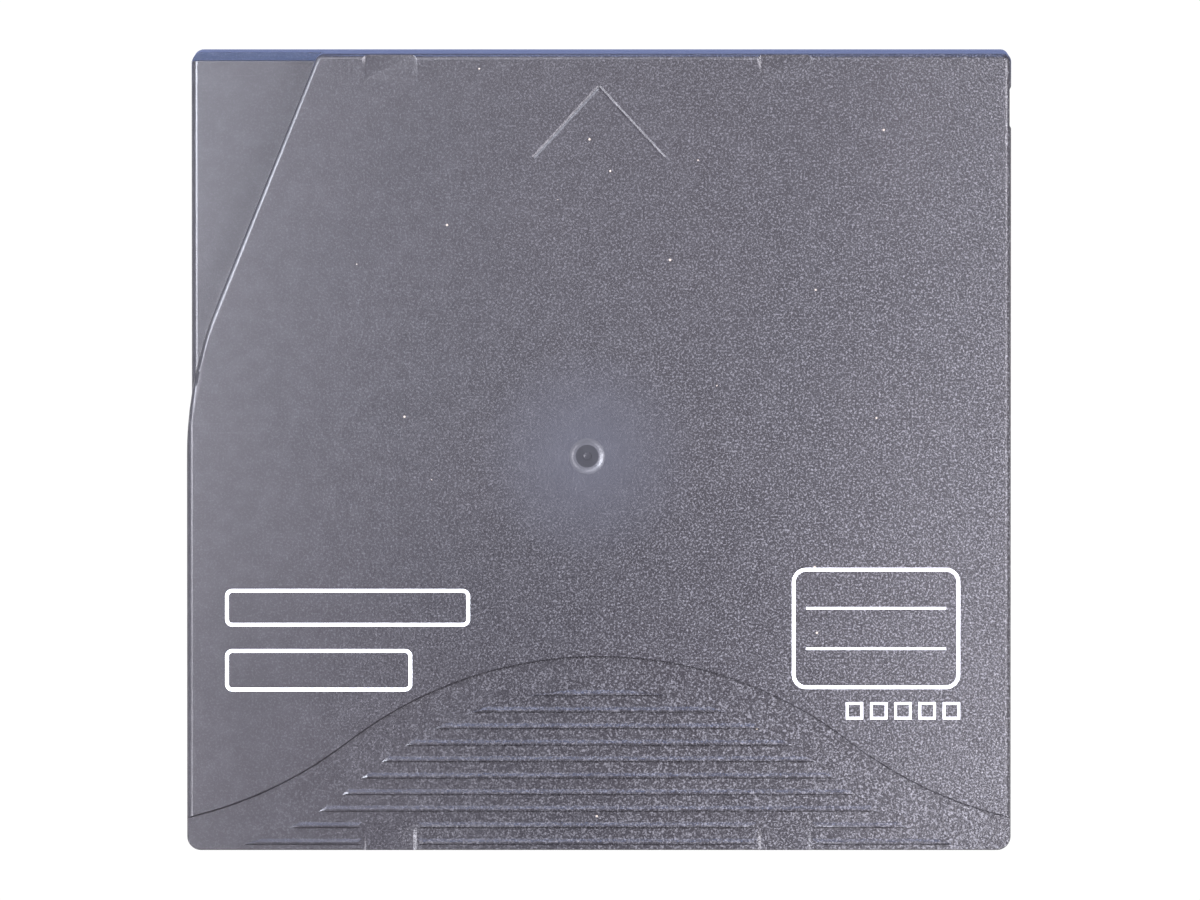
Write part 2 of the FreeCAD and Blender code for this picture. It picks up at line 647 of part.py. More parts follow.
def case_envelope():
    """The outside of the closed case: a rounded block, less the guide step in its front left corner."""
    half_width, half_length, height = size("half_width"), size("half_length"), size("case_height")
    level = size("guide_level")
    rear_corner = size("rear_corner")
    front_corner = size("front_corner")
    edge = min(size("edge_round"), 0.8 * front_corner, 0.8 * rear_corner)
    block = rounded_block(
        (-half_width, half_width),
        (-half_length, half_length),
        (0, height),
        (rear_corner, rear_corner, front_corner, front_corner),
        edge,
    )
    tall = tall_block(0, -1.0, height)
    step_edges = [
        line
        for line in tall.Edges
        if line.BoundBox.ZMin > height - 1e-6
        and line.BoundBox.YMin > size("reel_y") - 1e-6
        and -half_width - 1e-6 < line.BoundBox.XMin < half_width
    ]
    tall = tall.makeFillet(size("guide_edge"), step_edges)
    corner_edge = min(edge, 0.8 * size("guide_corner"))
    corner = rounded_block(
        (-half_width + size("guide_side_inset"), size("reel_x")),
        (size("reel_y"), half_length - size("guide_front_inset")),
        (0, level),
        (0, 0, 0, size("guide_corner")),
        corner_edge,
    )
    setback = size("guide_front_inset")
    lead_top = level - size("guide_lead")
    foot = rounded_block(
        (-half_width + size("guide_side_inset"), size("reel_x")),
        (size("reel_y"), half_length),
        (0, level),
        (0, 0, 0, size("guide_corner")),
        corner_edge,
    )
    lead_in = [
        point(-half_width, half_length + setback, lead_top - 2 * setback),
        point(-half_width, half_length + setback, level + 1),
        point(-half_width, half_length - setback, level + 1),
        point(-half_width, half_length - setback, lead_top),
    ]
    foot = foot.cut(Part.Face(Part.makePolygon(lead_in + lead_in[:1])).extrude(point(2 * half_width, 0)))
    return block.common(tall).fuse([corner, foot]).removeSplitter()


def case_inside(inset, low, high, corner_high, setback):
    """The region a given distance inside the outer walls, lower and set back under the guide step."""
    half_width, half_length = size("half_width") - inset, size("half_length") - inset
    width, length = 2 * half_width, 2 * half_length
    main = Part.makeBox(width, length, high - low, point(-half_width, -half_length, low))
    step_wall = min(inset, size("guide_wall"))
    main = main.common(tall_block(step_wall, low - 1, high + 1))
    left = -half_width + size("guide_side_inset")
    front = half_length - setback
    corner = Part.makeBox(
        size("reel_x") - left, front - size("reel_y"), corner_high - low, point(left, size("reel_y"), low)
    )
    return main.fuse(corner)


envelope = shaped("case_envelope", case_envelope())
cavity = shaped(
    "case_cavity",
    case_inside(
        size("side_wall"),
        size("bottom_wall"),
        size("ceiling"),
        size("guide_ceiling"),
        size("guide_front_inset"),
    ),
)
far = "case_width"
upper_half = box("upper_half", ("-" + far, far), ("-" + far, far), ("split_height", "case_height + 1"))
lower_half = box("lower_half", ("-" + far, far), ("-" + far, far), ("-1", "split_height"))

door_pocket = box(
    "door_pocket",
    ("half_width - side_wall - 1", "half_width - door_wall"),
    ("door_stop_y", "half_length - side_wall"),
    ("bottom_wall", "ceiling"),
)
window = box(
    "door_window",
    ("half_width - door_wall - 1", "half_width + 1"),
    ("window_start", "window_end"),
    ("window_low", "case_height - window_high"),
)
label_recess = box(
    "label_recess",
    ("label_left", "label_right"),
    ("-half_length - 1", "-half_length + label_depth"),
    ("label_margin", "case_height - label_margin"),
)
protect_window = box(
    "protect_window",
    ("protect_left", "protect_left + protect_width"),
    ("-half_length - 1", "-half_length + side_wall + 0.1"),
    ("protect_low", "protect_low + protect_height"),
)


def seam_groove():
    """A shallow groove around the case at the split."""
    low = size("split_height") - size("seam_width") / 2
    high = size("split_height") + size("seam_width") / 2
    reach = size("case_width")
    around = Part.makeBox(2 * reach, 2 * reach, high - low, point(-reach, -reach, low))
    return around.cut(case_inside(size("seam_depth"), low - 1, high + 1, high + 1, 0.0))


def side_scallops():
    """Dips between the ribs on both side walls, level with the lower grip ribs."""
    total = int(size("side_rib_total"))
    pitch, width = size("rib_pitch"), size("rib_width")
    start = -size("half_length") + size("rib_first") + width
    low = size("side_rib_margin")
    high = size("case_height") - size("side_rib_margin")
    depth = size("side_rib_depth")
    slope = (pitch - width) / 6
    dips = []
    for side in (-1, 1):
        face = side * size("half_width")
        for index in range(total + 1):
            rear = start + index * pitch
            front = rear + pitch - width
            inner = face - side * depth
            outer = face + side * depth
            dip = [
                (outer, rear - slope),
                (inner, rear + slope),
                (inner, front - slope),
                (outer, front + slope),
            ]
            dips.append(prism(dip, low, high))
    return Part.makeCompound(dips)


def grab_dip():
    """A shallow dip with slanted ends in the right-hand wall, beside the leader pin."""
    front = size("half_length") - size("grab_start")
    rear = front - size("grab_length")
    face, depth = size("half_width"), size("grab_depth")
    dip = [
        (face + depth, rear - 2 * depth),
        (face - depth, rear + 2 * depth),
        (face - depth, front - 2 * depth),
        (face + depth, front + 2 * depth),
    ]
    return prism(dip, -1, size("case_height") + 1)


seam = shaped("seam_groove", seam_groove())
scallops = shaped("side_scallops", side_scallops())
grab = shaped("grab_dip", grab_dip())


def face_relief(sign):
    """The bell-shaped grip area sunk into the top face (sign 1) or the underside (sign -1), with its ribs
    left standing."""
    outer = size("case_height") if sign > 0 else 0.0
    depth, slope = size("grip_depth"), size("grip_step_width")
    grip = outer - sign * depth
    over = outer + sign * depth
    bell = Part.makeLoft([bell_outline(0, grip), bell_outline(2 * slope, over)], True, True)
    return bell.cut(grip_ribs(grip, sign * size("rib_height")))


def edge_pads(sign):
    """Four shallow pads, open to the front and rear edges."""
    outer = size("case_height") if sign > 0 else 0.0
    half_width, half_length = size("pad_width") / 2, size("half_length")
    side_width, depth = size("pad_side_width"), size("pad_depth")
    front_end = half_length - size("pad_front_length") + side_width
    rear_end = -half_length + size("pad_rear_length") - side_width
    pads = []
    for side in (-1, 1):
        middle = size("reel_x") + side * size("pad_spacing") / 2
        span = (middle - half_width, middle + half_width)
        for sunk in (0.0, size("grip_depth")):
            rise = depth + sunk + 0.2
            run = rise * side_width / depth
            if sunk:
                block = tapered_block(span, (-half_length - 1, rear_end), (0, rise), run, run, 0.0)
            else:
                block = tapered_block(span, (front_end, half_length + 1), (0, rise), run, 0.0, run)
            if sign < 0:
                block = block.mirror(point(0, 0, 0), up)
            block.translate(up * (outer - sign * (sunk + depth)))
            pads.append(block)
    return Part.makeCompound(pads)


relief_top = shaped("grip_relief_top", face_relief(1))
relief_bottom = shaped("grip_relief_bottom", face_relief(-1))
pads_top = shaped("edge_pads_top", edge_pads(1))
pads_bottom = shaped("edge_pads_bottom", edge_pads(-1))


def arrow_grooves():
    """Two engraved V-grooves that meet in a tip near the front edge."""
    top = size("case_height")
    tip = point(0, size("half_length") - size("arrow_tip"), top)
    half, depth = size("arrow_line") / 2, size("arrow_depth")
    grooves = []
    for side in (-1, 1):
        end = point(side * size("arrow_half_width"), tip.y - size("arrow_length"), top)
        run = (end - tip).normalize()
        across = run.cross(up)
        section = [
            tip + across * half * 2 + up * depth,
            tip - up * depth,
            tip - across * half * 2 + up * depth,
        ]
        face = Part.Face(Part.makePolygon(section + section[:1]))
        grooves.append(face.extrude(end - tip))
    return grooves[0].fuse(grooves[1])


arrow = shaped("arrow_grooves", arrow_grooves())
gate = cut(
    "gate_dimple",
    funnel(
        "gate_cone",
        "gate_floor",
        "gate_mouth",
        "reel_x",
        "reel_y",
        ("case_height - gate_depth", "case_height"),
    ),
    rod(
        "gate_nub_rod",
        "gate_nub",
        "reel_x",
        "reel_y",
        ("case_height - gate_depth - 0.1", "case_height - gate_depth + gate_nub_height"),
    ),
)

# Fittings inside both shells

screw_places = {
    "front_left": ("screw_left - half_width", "half_length - screw_left_front"),
    "front_right": ("half_width - screw_right", "half_length - screw_right_front"),
    "rear_left": ("screw_rear_side - half_width", "screw_rear - half_length"),
    "rear_right": ("half_width - screw_rear_side", "screw_rear - half_length"),
}
chamber_spans = [(108, 54), (198, 56), (284, 52)]


def chamber_walls(low, high):
    """Arcs in three corners that stop the reel from drifting. The fourth corner holds the leader pin."""
    inner = size("flange_radius") + size("chamber_gap")
    outer = inner + size("chamber_wall")
    arcs = [ring_sector(inner, outer, start, sweep, low, high) for start, sweep in chamber_spans]
    return Part.makeCompound(arcs)


def pin_socket(low, high):
    """A wall around one end of the leader pin, open to the right so that the pin can be drawn out."""
    centre = point(size("pin_x"), size("pin_y"), low)
    inner = size("pin_flange") + size("socket_gap")
    outer = inner + size("socket_wall")
    wall = Part.makeCylinder(outer, high - low, centre).cut(Part.makeCylinder(inner, high - low, centre))
    mouth = Part.makeBox(outer, 2 * outer, high - low, centre - point(0, outer))
    ahead = centre + point(-outer, size("holder_front_gap") - 0.2)
    front = Part.makeBox(2 * outer, outer, high - low, ahead)
    return wall.cut(mouth).cut(front)


def holder_outline(low, high):
    """The strip of a pin spring: along the front wall, round the pin's corner and back past the pin."""
    thickness = size("holder_thickness")
    bend = size("pin_flange") + size("holder_gap")
    centre = point(size("pin_x"), size("pin_y") + size("holder_front_gap"), low)
    height = high - low
    start_x = centre.x - size("holder_reach")
    front = Part.makeBox(centre.x - start_x, thickness, height, point(start_x, centre.y + bend, low))
    turn = Part.makeCylinder(bend + thickness, height, centre, up, 90)
    turn = turn.cut(Part.makeCylinder(bend, height, centre, up, 90))
    tail = Part.makeBox(
        thickness, size("holder_tail"), height, point(centre.x + bend, centre.y - size("holder_tail"), low)
    )
    return front.fuse(turn).fuse(tail).removeSplitter()


def holder_posts(low, high):
    """A post behind the strip's fixed end and a block between the strip and the front wall."""
    bend = size("pin_flange") + size("holder_gap")
    strip_y = size("pin_y") + size("holder_front_gap") + bend
    post = size("holder_post")
    start_x = size("pin_x") - size("holder_reach") + 2 * post
    wall = size("half_length") - size("side_wall")
    back = Part.makeCylinder(post, high - low, point(start_x, strip_y - post, low))
    front_y = strip_y + size("holder_thickness")
    block = Part.makeBox(2 * post, wall + 0.2 - front_y, high - low, point(start_x - post, front_y, low))
    return Part.makeCompound([back, block])


def door_rails(low, high):
    """The rail that keeps the door from tipping inwards, along its whole run."""
    inner = size("door_inner") - size("door_gap")
    thickness = size("door_rail")
    rear = size("door_start") - size("door_travel")
    front = size("half_length") - size("side_wall") + 0.1
    return Part.makeBox(thickness, front - rear, high - low, point(inner - thickness, rear, low))


stop_inner = "coil_x - door_coil - door_wire"
stop_span = ("door_stop_y - door_stop_thickness", "door_stop_y")
ceiling, floor = size("ceiling"), size("bottom_wall")


# Upper shell

chamber_edge = size("upper_flange_low") - size("chamber_reach")
upper_fittings = [
    shaped("upper_chamber_walls", chamber_walls(chamber_edge, ceiling + 0.1)),
    shaped("upper_pin_socket", pin_socket(ceiling - size("socket_height"), ceiling + 0.1)),
    shaped("upper_holder_posts", holder_posts(ceiling - size("holder_height"), ceiling + 0.1)),
    shaped("upper_door_rail", door_rails(ceiling - size("door_rail_height"), ceiling + 0.1)),
    box(
        "key_across",
        ("reel_x - key_half_length", "reel_x + key_half_length"),
        ("reel_y - key_half_width", "reel_y + key_half_width"),
        ("key_low", "ceiling + 0.1"),
    ),
    box(
        "key_along",
        ("reel_x - key_half_width", "reel_x + key_half_width"),
        ("reel_y - key_half_length", "reel_y + key_half_length"),
        ("key_low", "ceiling + 0.1"),
    ),
    cut(
        "spring_seat_ring",
        rod(
            "spring_seat_outer",
            "brake_coil + brake_wire + 0.2 + spring_seat",
            "reel_x",
            "reel_y",
            ("ceiling - 1", "ceiling + 0.1"),
        ),
        rod(
            "spring_seat_inner",
            "brake_coil + brake_wire + 0.2",
            "reel_x",
            "reel_y",
            ("ceiling - 1.1", "ceiling + 0.2"),
        ),
    ),
]
pilots = []
for place, (x, y) in screw_places.items():
    roof = "guide_ceiling" if place == "front_left" else "ceiling"
    boss_span = ("split_height", roof + " + 0.1")
    upper_fittings.append(rod("upper_boss_" + place, "upper_boss_radius", x, y, boss_span))
    pilots.append(rod("pilot_" + place, "screw_shank", x, y, ("split_height - 1", "screw_tip")))

lap_room = shaped(
    "lap_room",
    case_inside(
        size("lap_skin") - size("lap_gap"),
        size("split_height"),
        size("split_height") + size("lap_depth") + size("lap_gap"),
        size("split_height") + size("lap_depth") + size("lap_gap"),
        0.0,
    ),
)
lap_limit = box(
    "lap_limit",
    ("-" + far, "half_width - 2 * side_wall"),
    ("-" + far, far),
    ("split_height - 1", "split_height + lap_depth + 1"),
)
upper_lap = common("upper_lap_room", lap_room, lap_limit)
upper_blank = cut(
    "upper_blank",
    common("upper_outside", envelope, upper_half),
    cavity,
    door_pocket,
    upper_lap,
)
upper_relieved = cut("upper_relieved", upper_blank, relief_top)
upper_shell = cut(
    "upper_shell_solid",
    fuse("upper_fitted", upper_relieved, *upper_fittings),
    pads_top,
    arrow,
    gate,
    seam,
    scallops,
    grab,
    window,
    label_recess,
    *pilots,
)
upper_shell.Label = "upper_shell"

# Lower shell

slider_front = "-half_length + side_wall + protect_gap + protect_plate + protect_gap"
slider_right = "protect_left + protect_width + protect_overlap + protect_travel"
lower_fittings = [
    shaped("lower_chamber_walls", chamber_walls(floor - 0.1, size("split_height"))),
    shaped("lower_pin_socket", pin_socket(floor - 0.1, floor + size("socket_height"))),
    shaped("lower_holder_posts", holder_posts(floor - 0.1, floor + size("holder_height"))),
    shaped("lower_door_rail", door_rails(floor - 0.1, floor + size("door_rail_height"))),
    box(
        "spring_stop",
        (stop_inner, "half_width - side_wall + 0.1"),
        stop_span,
        ("bottom_wall - 0.1", "split_height"),
    ),
    box(
        "spring_stop_top",
        (stop_inner, "half_width - side_wall - door_gap"),
        stop_span,
        ("split_height - 0.1", "coil_z + door_coil + 2 * door_wire"),
    ),
    nub("stop_nub", "door_stop_y - 0.1", "door_stop_y + door_nub_length"),
    box(
        "slider_rail",
        ("protect_left - protect_overlap", slider_right),
        (slider_front, slider_front + " + 0.8"),
        ("bottom_wall - 0.1", "protect_low"),
    ),
    rod(
        "locate_boss",
        "locate_radius + locate_wall",
        "locate_x",
        "locate_y",
        ("bottom_wall - 0.1", "locate_depth + locate_roof"),
    ),
]
for end in ("-", "+"):
    lower_fittings.append(
        rod(
            "slot_boss" + ("_left" if end == "-" else "_right"),
            "locate_radius + locate_wall",
            f"slot_x {end} slot_stretch / 2",
            "slot_y",
            ("bottom_wall - 0.1", "locate_depth + locate_roof"),
        )
    )
lower_fittings.append(
    box(
        "slot_boss_middle",
        ("slot_x - slot_stretch / 2", "slot_x + slot_stretch / 2"),
        ("slot_y - locate_radius - locate_wall", "slot_y + locate_radius + locate_wall"),
        ("bottom_wall - 0.1", "locate_depth + locate_roof"),
    )
)


def board_brackets():
    """Two triangular ribs in the rear corner that hold the memory board at 45 degrees."""
    rear = -size("half_length") + size("side_wall") - 0.2
    floor = size("bottom_wall") - 0.1
    front = -size("half_length") + size("board_front")
    reach = front - rear
    brackets = []
    for side in (-1, 1):
        middle = size("board_x") + side * size("board_rib_spacing") / 2
        left = middle - size("board_rib") / 2
        foot = size("bottom_wall")
        section = [
            point(left, rear, floor),
            point(left, front + 0.1, floor),
            point(left, front, foot),
            point(left, rear, foot + reach),
        ]
        face = Part.Face(Part.makePolygon(section + section[:1]))
        brackets.append(face.extrude(point(size("board_rib"), 0)))
    return Part.makeCompound(brackets)


lower_fittings.append(shaped("board_brackets", board_brackets()))

lip = cut(
    "lap_lip",
    common(
        "lap_lip_blank",
        shaped(
            "lap_lip_outside",
            case_inside(
                size("lap_skin"),
                size("split_height") - 0.1,
                size("split_height") + size("lap_depth"),
                size("split_height") + size("lap_depth"),
                0.0,
            ),
        ),
        lap_limit,
    ),
    cavity,
)
lower_fittings.append(lip)

lower_holes = [
    rod("drive_opening", "opening_radius", "reel_x", "reel_y", ("-1", "bottom_wall + 0.1")),
    funnel(
        "drive_opening_edge",
        "opening_radius + opening_chamfer + 0.1",
        "opening_radius",
        "reel_x",
        "reel_y",
        ("-0.1", "opening_chamfer"),
    ),
    rod("locate_hole", "locate_radius", "locate_x", "locate_y", ("-1", "locate_depth")),
    box(
        "slot_middle",
        ("slot_x - slot_stretch / 2", "slot_x + slot_stretch / 2"),
        ("slot_y - locate_radius", "slot_y + locate_radius"),
        ("-1", "locate_depth"),
    ),
    rod("slot_left", "locate_radius", "slot_x - slot_stretch / 2", "slot_y", ("-1", "locate_depth")),
    rod("slot_right_end", "locate_radius", "slot_x + slot_stretch / 2", "slot_y", ("-1", "locate_depth")),
]
for place, (x, y) in screw_places.items():
    boss_span = ("bottom_wall - 0.1", "split_height")
    lower_fittings.append(rod("lower_boss_" + place, "boss_radius", x, y, boss_span))
    head_room, shank_room = "screw_head + screw_head_gap", "screw_shank + screw_shank_gap"
    lower_holes.append(rod("counterbore_" + place, head_room, x, y, ("-1", "screw_seat")))
    lower_holes.append(rod("shank_hole_" + place, shank_room, x, y, ("0", "split_height + 1")))

lower_blank = cut("lower_blank", common("lower_outside", envelope, lower_half), cavity, door_pocket)
lower_relieved = cut("lower_relieved", lower_blank, relief_bottom)
lower_shell = cut(
    "lower_shell_solid",
    fuse("lower_fitted", lower_relieved, *lower_fittings),
    pads_bottom,
    seam,
    scallops,
    grab,
    window,
    label_recess,
    protect_window,
    *lower_holes,
)
lower_shell.Label = "lower_shell"

# Screws, driven from below

screws = []
for place, (x, y) in screw_places.items():
    blank = turned(
        "screw_" + place,
        [
            (None, "head_low"),
            ("screw_head", "head_low"),
            ("screw_head", "screw_seat"),
            ("screw_shank", "screw_seat"),
            ("screw_shank", "shank_end"),
            (None, "screw_tip"),
        ],
        x,
        y,
    )
    slots = []
    for name, half_x, half_y in (
        ("x", "screw_recess", "screw_recess_width / 2"),
        ("y", "screw_recess_width / 2", "screw_recess"),
    ):
        slots.append(
            box(
                f"recess_{name}_{place}",
                (f"{x} - {half_x}", f"{x} + {half_x}"),
                (f"{y} - {half_y}", f"{y} + {half_y}"),
                ("head_low - 0.1", "head_low + screw_recess_depth"),
            )
        )
    screw = cut("screw_solid_" + place, blank, *slots)
    screw.Label = "shell_screw_" + place
    screws.append(screw)

# Reel: hub and lower flange in one moulding, with the clutch teeth below and brake teeth inside

hub_blank = turned(
    "hub",
    [
        (None, "hub_bottom"),
        ("gear_inner", "hub_bottom"),
        ("gear_inner", "gear_tip"),
        ("gear_outer", "gear_tip"),
        ("gear_outer", "hub_bottom"),
        ("rim_inner", "hub_bottom"),
        ("rim_inner", "bottom_wall"),
        ("rim_outer", "bottom_wall"),
        ("rim_outer", "lower_flange_low"),
        ("flange_radius", "lower_flange_low"),
        ("flange_radius", "lower_flange_top"),
        ("hub_radius", "lower_flange_top"),
        ("hub_radius", "upper_flange_low"),
        ("hub_bore", "upper_flange_low"),
        ("hub_bore", "hub_inside"),
        (None, "hub_inside"),
    ],
    "reel_x",
    "reel_y",
)


def arm_blocks(width, low, high):
    """One straight block from the reel axis for each arm of the release pad."""
    reach = size("release_circle")
    centre = point(size("reel_x"), size("reel_y"), low)
    arm = Part.makeBox(reach, width, high - low, centre - point(0, width / 2))
    first, *others = around_reel(arm, int(size("release_total")))
    return first.multiFuse(others)


def on_circle(radius, distance, low, high, total, turn=0.0):
    """Upright pins spaced evenly about the reel axis."""
    centre = point(size("reel_x"), size("reel_y"))
    pin = Part.makeCylinder(radius, high - low, centre + point(distance, 0, low))
    pin.rotate(centre, up, turn)
    return Part.makeCompound(around_reel(pin, total))


segment_ring = cut(
    "segment_ring",
    rod("segment_outer", "brake_outer", "reel_x", "reel_y", ("hub_inside - 0.1", "segment_top")),
    rod("segment_inner", "brake_inner", "reel_x", "reel_y", ("hub_inside - 0.2", "segment_top + 0.1")),
    shaped(
        "segment_gaps",
        arm_blocks(
            size("release_arm") + 2 * size("release_arm_gap"), size("hub_inside"), size("segment_top") + 1
        ),
    ),
)
pegs = shaped(
    "clutch_pegs",
    on_circle(
        size("peg_radius"),
        size("peg_circle"),
        size("plate_low") + 0.1,
        size("hub_bottom") + 0.1,
        int(size("peg_total")),
        size("peg_angle"),
    ),
)
clutch_spaces = shaped(
    "clutch_tooth_spaces",
    tooth_wedges(
        size("gear_inner") - 0.3,
        size("gear_outer") + 0.3,
        size("gear_half_width"),
        size("gear_tip"),
        size("gear_height") * 0.85,
        0.5,
    ),
)
brake_spaces = shaped(
    "brake_tooth_spaces",
    tooth_wedges(
        size("brake_inner") - 0.5,
        size("brake_outer") + 0.5,
        size("brake_half_width"),
        size("segment_top"),
        -size("brake_tooth_height"),
        -0.5,
    ),
)
leg_holes = shaped(
    "leg_holes",
    on_circle(
        size("release_leg") + size("release_gap"),
        size("release_circle"),
        size("gear_tip") - 1,
        size("hub_inside") + 0.1,
        int(size("release_total")),
    ),
)
reel_hub = cut(
    "reel_hub_solid",
    fuse("hub_fitted", hub_blank, segment_ring, pegs),
    clutch_spaces,
    brake_spaces,
    leg_holes,
)
reel_hub.Label = "reel_hub"

upper_flange = turned(
    "upper_flange",
    [
        ("hub_bore", "upper_flange_low"),
        ("flange_radius", "upper_flange_low"),
        ("flange_radius", "upper_flange_top"),
        ("hub_bore", "upper_flange_top"),
    ],
    "reel_x",
    "reel_y",
)
upper_flange.Label = "upper_flange"

tape_pack = turned(
    "tape_pack",
    [
        ("hub_radius", "lower_flange_top"),
        ("pack_radius", "lower_flange_top"),
        ("pack_radius", "pack_top"),
        ("hub_radius", "pack_top"),
    ],
    "reel_x",
    "reel_y",
)
tape_pack.Label = "tape_pack"

clutch_plate = cut(
    "clutch_plate_solid",
    turned(
        "clutch_plate",
        [
            ("plate_inner", "plate_low"),
            ("plate_outer", "plate_low"),
            ("plate_outer", "hub_bottom"),
            ("plate_inner", "hub_bottom"),
        ],
        "reel_x",
        "reel_y",
    ),
    shaped(
        "plate_peg_holes",
        on_circle(
            size("peg_radius") + size("peg_gap"),
            size("peg_circle"),
            size("plate_low") - 1,
            size("hub_bottom") + 1,
            int(size("peg_total")),
            size("peg_angle"),
        ),
    ),
)
clutch_plate.Label = "clutch_plate"

# Release pad: three legs that the drive pushes up

release_pad = fuse(
    "release_pad_solid",
    rod("release_middle", "release_centre", "reel_x", "reel_y", ("hub_inside", "release_top")),
    shaped("release_arms", arm_blocks(size("release_arm"), size("hub_inside"), size("release_top"))),
    shaped(
        "release_legs",
        on_circle(
            size("release_leg"),
            size("release_circle"),
            size("gear_tip") + size("release_rise"),
            size("release_top"),
            int(size("release_total")),
        ),
    ),
)
release_pad.Label = "release_pad"

# Brake: a toothed disc that only slides up and down on the cross-shaped key

brake_blank = turned(
    "brake",
    [
        (None, "release_top"),
        ("brake_boss", "release_top"),
        ("brake_boss", "brake_disc_low"),
        ("brake_disc_outer", "brake_disc_low"),
        ("brake_disc_outer", "brake_disc_top"),
        ("brake_sleeve", "brake_disc_top"),
        ("brake_sleeve", "brake_sleeve_top"),
        (None, "brake_sleeve_top"),
    ],
    "reel_x",
    "reel_y",
)
brake_teeth = shaped(
    "brake_teeth",
    tooth_wedges(
        size("brake_inner"),
        size("brake_outer"),
        size("brake_half_width"),
        size("brake_disc_low"),
        -size("brake_tooth_height"),
        -0.3,
    ),
)
slot_level = ("brake_disc_top + key_slot_floor", "brake_sleeve_top + 1")
slot_long = "key_half_length + key_gap"
slot_wide = "key_half_width + key_gap"
brake_button = cut(
    "brake_button_solid",
    fuse("brake_toothed", brake_blank, brake_teeth),
    box(
        "key_slot_across",
        (f"reel_x - ({slot_long})", f"reel_x + {slot_long}"),
        (f"reel_y - ({slot_wide})", f"reel_y + {slot_wide}"),
        slot_level,
    ),
    box(
        "key_slot_along",
        (f"reel_x - ({slot_wide})", f"reel_x + {slot_wide}"),
        (f"reel_y - ({slot_long})", f"reel_y + {slot_long}"),
        slot_level,
    ),
)
brake_button.Label = "brake_button"


def brake_spring_shape():
    height = ceiling - size("brake_disc_top")
    spring = coil(size("brake_coil"), size("brake_wire"), height, size("brake_turns"))
    spring.translate(point(size("reel_x"), size("reel_y"), size("brake_disc_top")))
    return spring


brake_spring = shaped("brake_spring_solid", brake_spring_shape())
brake_spring.Label = "brake_spring"

# Sliding door with the tab that the drive pushes and the lug that meets its spring

door_low = "bottom_wall + door_gap"
door_high = "ceiling - door_gap"
sliding_door = fuse(
    "sliding_door_solid",
    box("door_plate", ("door_inner", "door_outer"), ("door_start", "door_end"), (door_low, door_high)),
    box(
        "door_tab",
        ("door_outer - 0.1", "half_width - door_gap"),
        ("window_end - door_gap - door_tab_length", "window_end - door_gap"),
        ("coil_z - door_tab_height / 2", "coil_z + door_tab_height / 2"),
    ),
    box(
        "door_lug",
        ("coil_x - door_coil - door_wire", "door_outer"),
        ("door_start - 0.1", "door_start + door_lug"),
        ("coil_z - door_coil - 2 * door_wire", "coil_z + door_coil + 2 * door_wire"),
    ),
    nub("door_nub_rod", "door_start - 0.1 - door_nub_length", "door_start"),
)
sliding_door.Label = "sliding_door"


def door_spring_shape():
    start = size("door_stop_y")
    length = size("door_start") - 0.1 - start
    spring = coil(size("door_coil"), size("door_wire"), length, size("door_turns"))
    spring.rotate(point(0, 0, 0), point(1, 0, 0), -90)
    spring.translate(point(size("coil_x"), start, size("coil_z")))
    return spring


door_spring = shaped("door_spring_solid", door_spring_shape())
door_spring.Label = "door_spring"

# Leader pin with its clip, and the leader tape that runs to the wound tape

leader_pin = turned(
    "leader_pin",
    [
        (None, "bottom_wall"),
        ("pin_flange", "bottom_wall"),
        ("pin_flange", "pin_lower_end"),
        ("pin_radius", "pin_lower_end"),
        ("pin_radius", "pin_upper_end"),
        ("pin_flange", "pin_upper_end"),
        ("pin_flange", "pin_top"),
        (None, "pin_top"),
    ],
    "pin_x",
    "pin_y",
)
leader_pin.Label = "leader_pin"


def leader_run():
    """Where the leader tape starts on the pin's axis and where it meets the wound tape."""
    axis = point(size("reel_x"), size("reel_y"))
    pin = point(size("pin_x"), size("pin_y"))
    radius = size("pack_radius") + size("leader_gap") + size("leader_thickness") / 2
    distance = pin.distanceToPoint(axis)
    angle = math.atan2(pin.y - axis.y, pin.x - axis.x) - math.acos(radius / distance)
    meet = axis + point(radius * math.cos(angle), radius * math.sin(angle))
    return pin, meet


def along_leader(start, end, thickness, low, high):
    """A thin upright block along the leader tape, from one distance to another behind the pin's axis."""
    pin, meet = leader_run()
    heading = math.degrees(math.atan2(meet.y - pin.y, meet.x - pin.x))
    block = Part.makeBox(end - start, thickness, high - low, point(start, -thickness / 2, low))
    block.rotate(point(0, 0, 0), up, heading)
    block.translate(pin)
    return block


leader_length = leader_run()[0].distanceToPoint(leader_run()[1])
leader_tape = shaped(
    "leader_tape_solid",
    along_leader(
        size("pin_radius"),
        leader_length,
        size("leader_thickness"),
        size("lower_flange_top") + size("tape_gap") / 2,
        size("pack_top") + size("tape_gap") / 2,
    ),
)
leader_tape.Label = "leader_tape"

clip_outer = "pin_radius + clip_wall"
pin_clip = cut(
    "pin_clip_solid",
    rod("clip_outside", clip_outer, "pin_x", "pin_y", ("lower_flange_top", "pack_top + tape_gap")),
    rod("clip_bore", "pin_radius", "pin_x", "pin_y", ("lower_flange_top - 1", "pack_top + 1")),
    shaped(
        "clip_slit_block",
        along_leader(
            0,
            2 * (size("pin_radius") + size("clip_wall")),
            size("clip_slit"),
            size("lower_flange_top") - 1,
            size("pack_top") + 1,
        ),
    ),
)
pin_clip.Label = "pin_clip"

lower_holder = shaped(
    "pin_spring_lower_solid",
    holder_outline(size("bottom_wall"), size("bottom_wall") + size("holder_height")),
)
lower_holder.Label = "pin_spring_lower"
upper_holder = shaped(
    "pin_spring_upper_solid",
    holder_outline(size("ceiling") - size("holder_height"), size("ceiling")),
)
upper_holder.Label = "pin_spring_upper"

# Write-protect slider behind its window in the rear wall

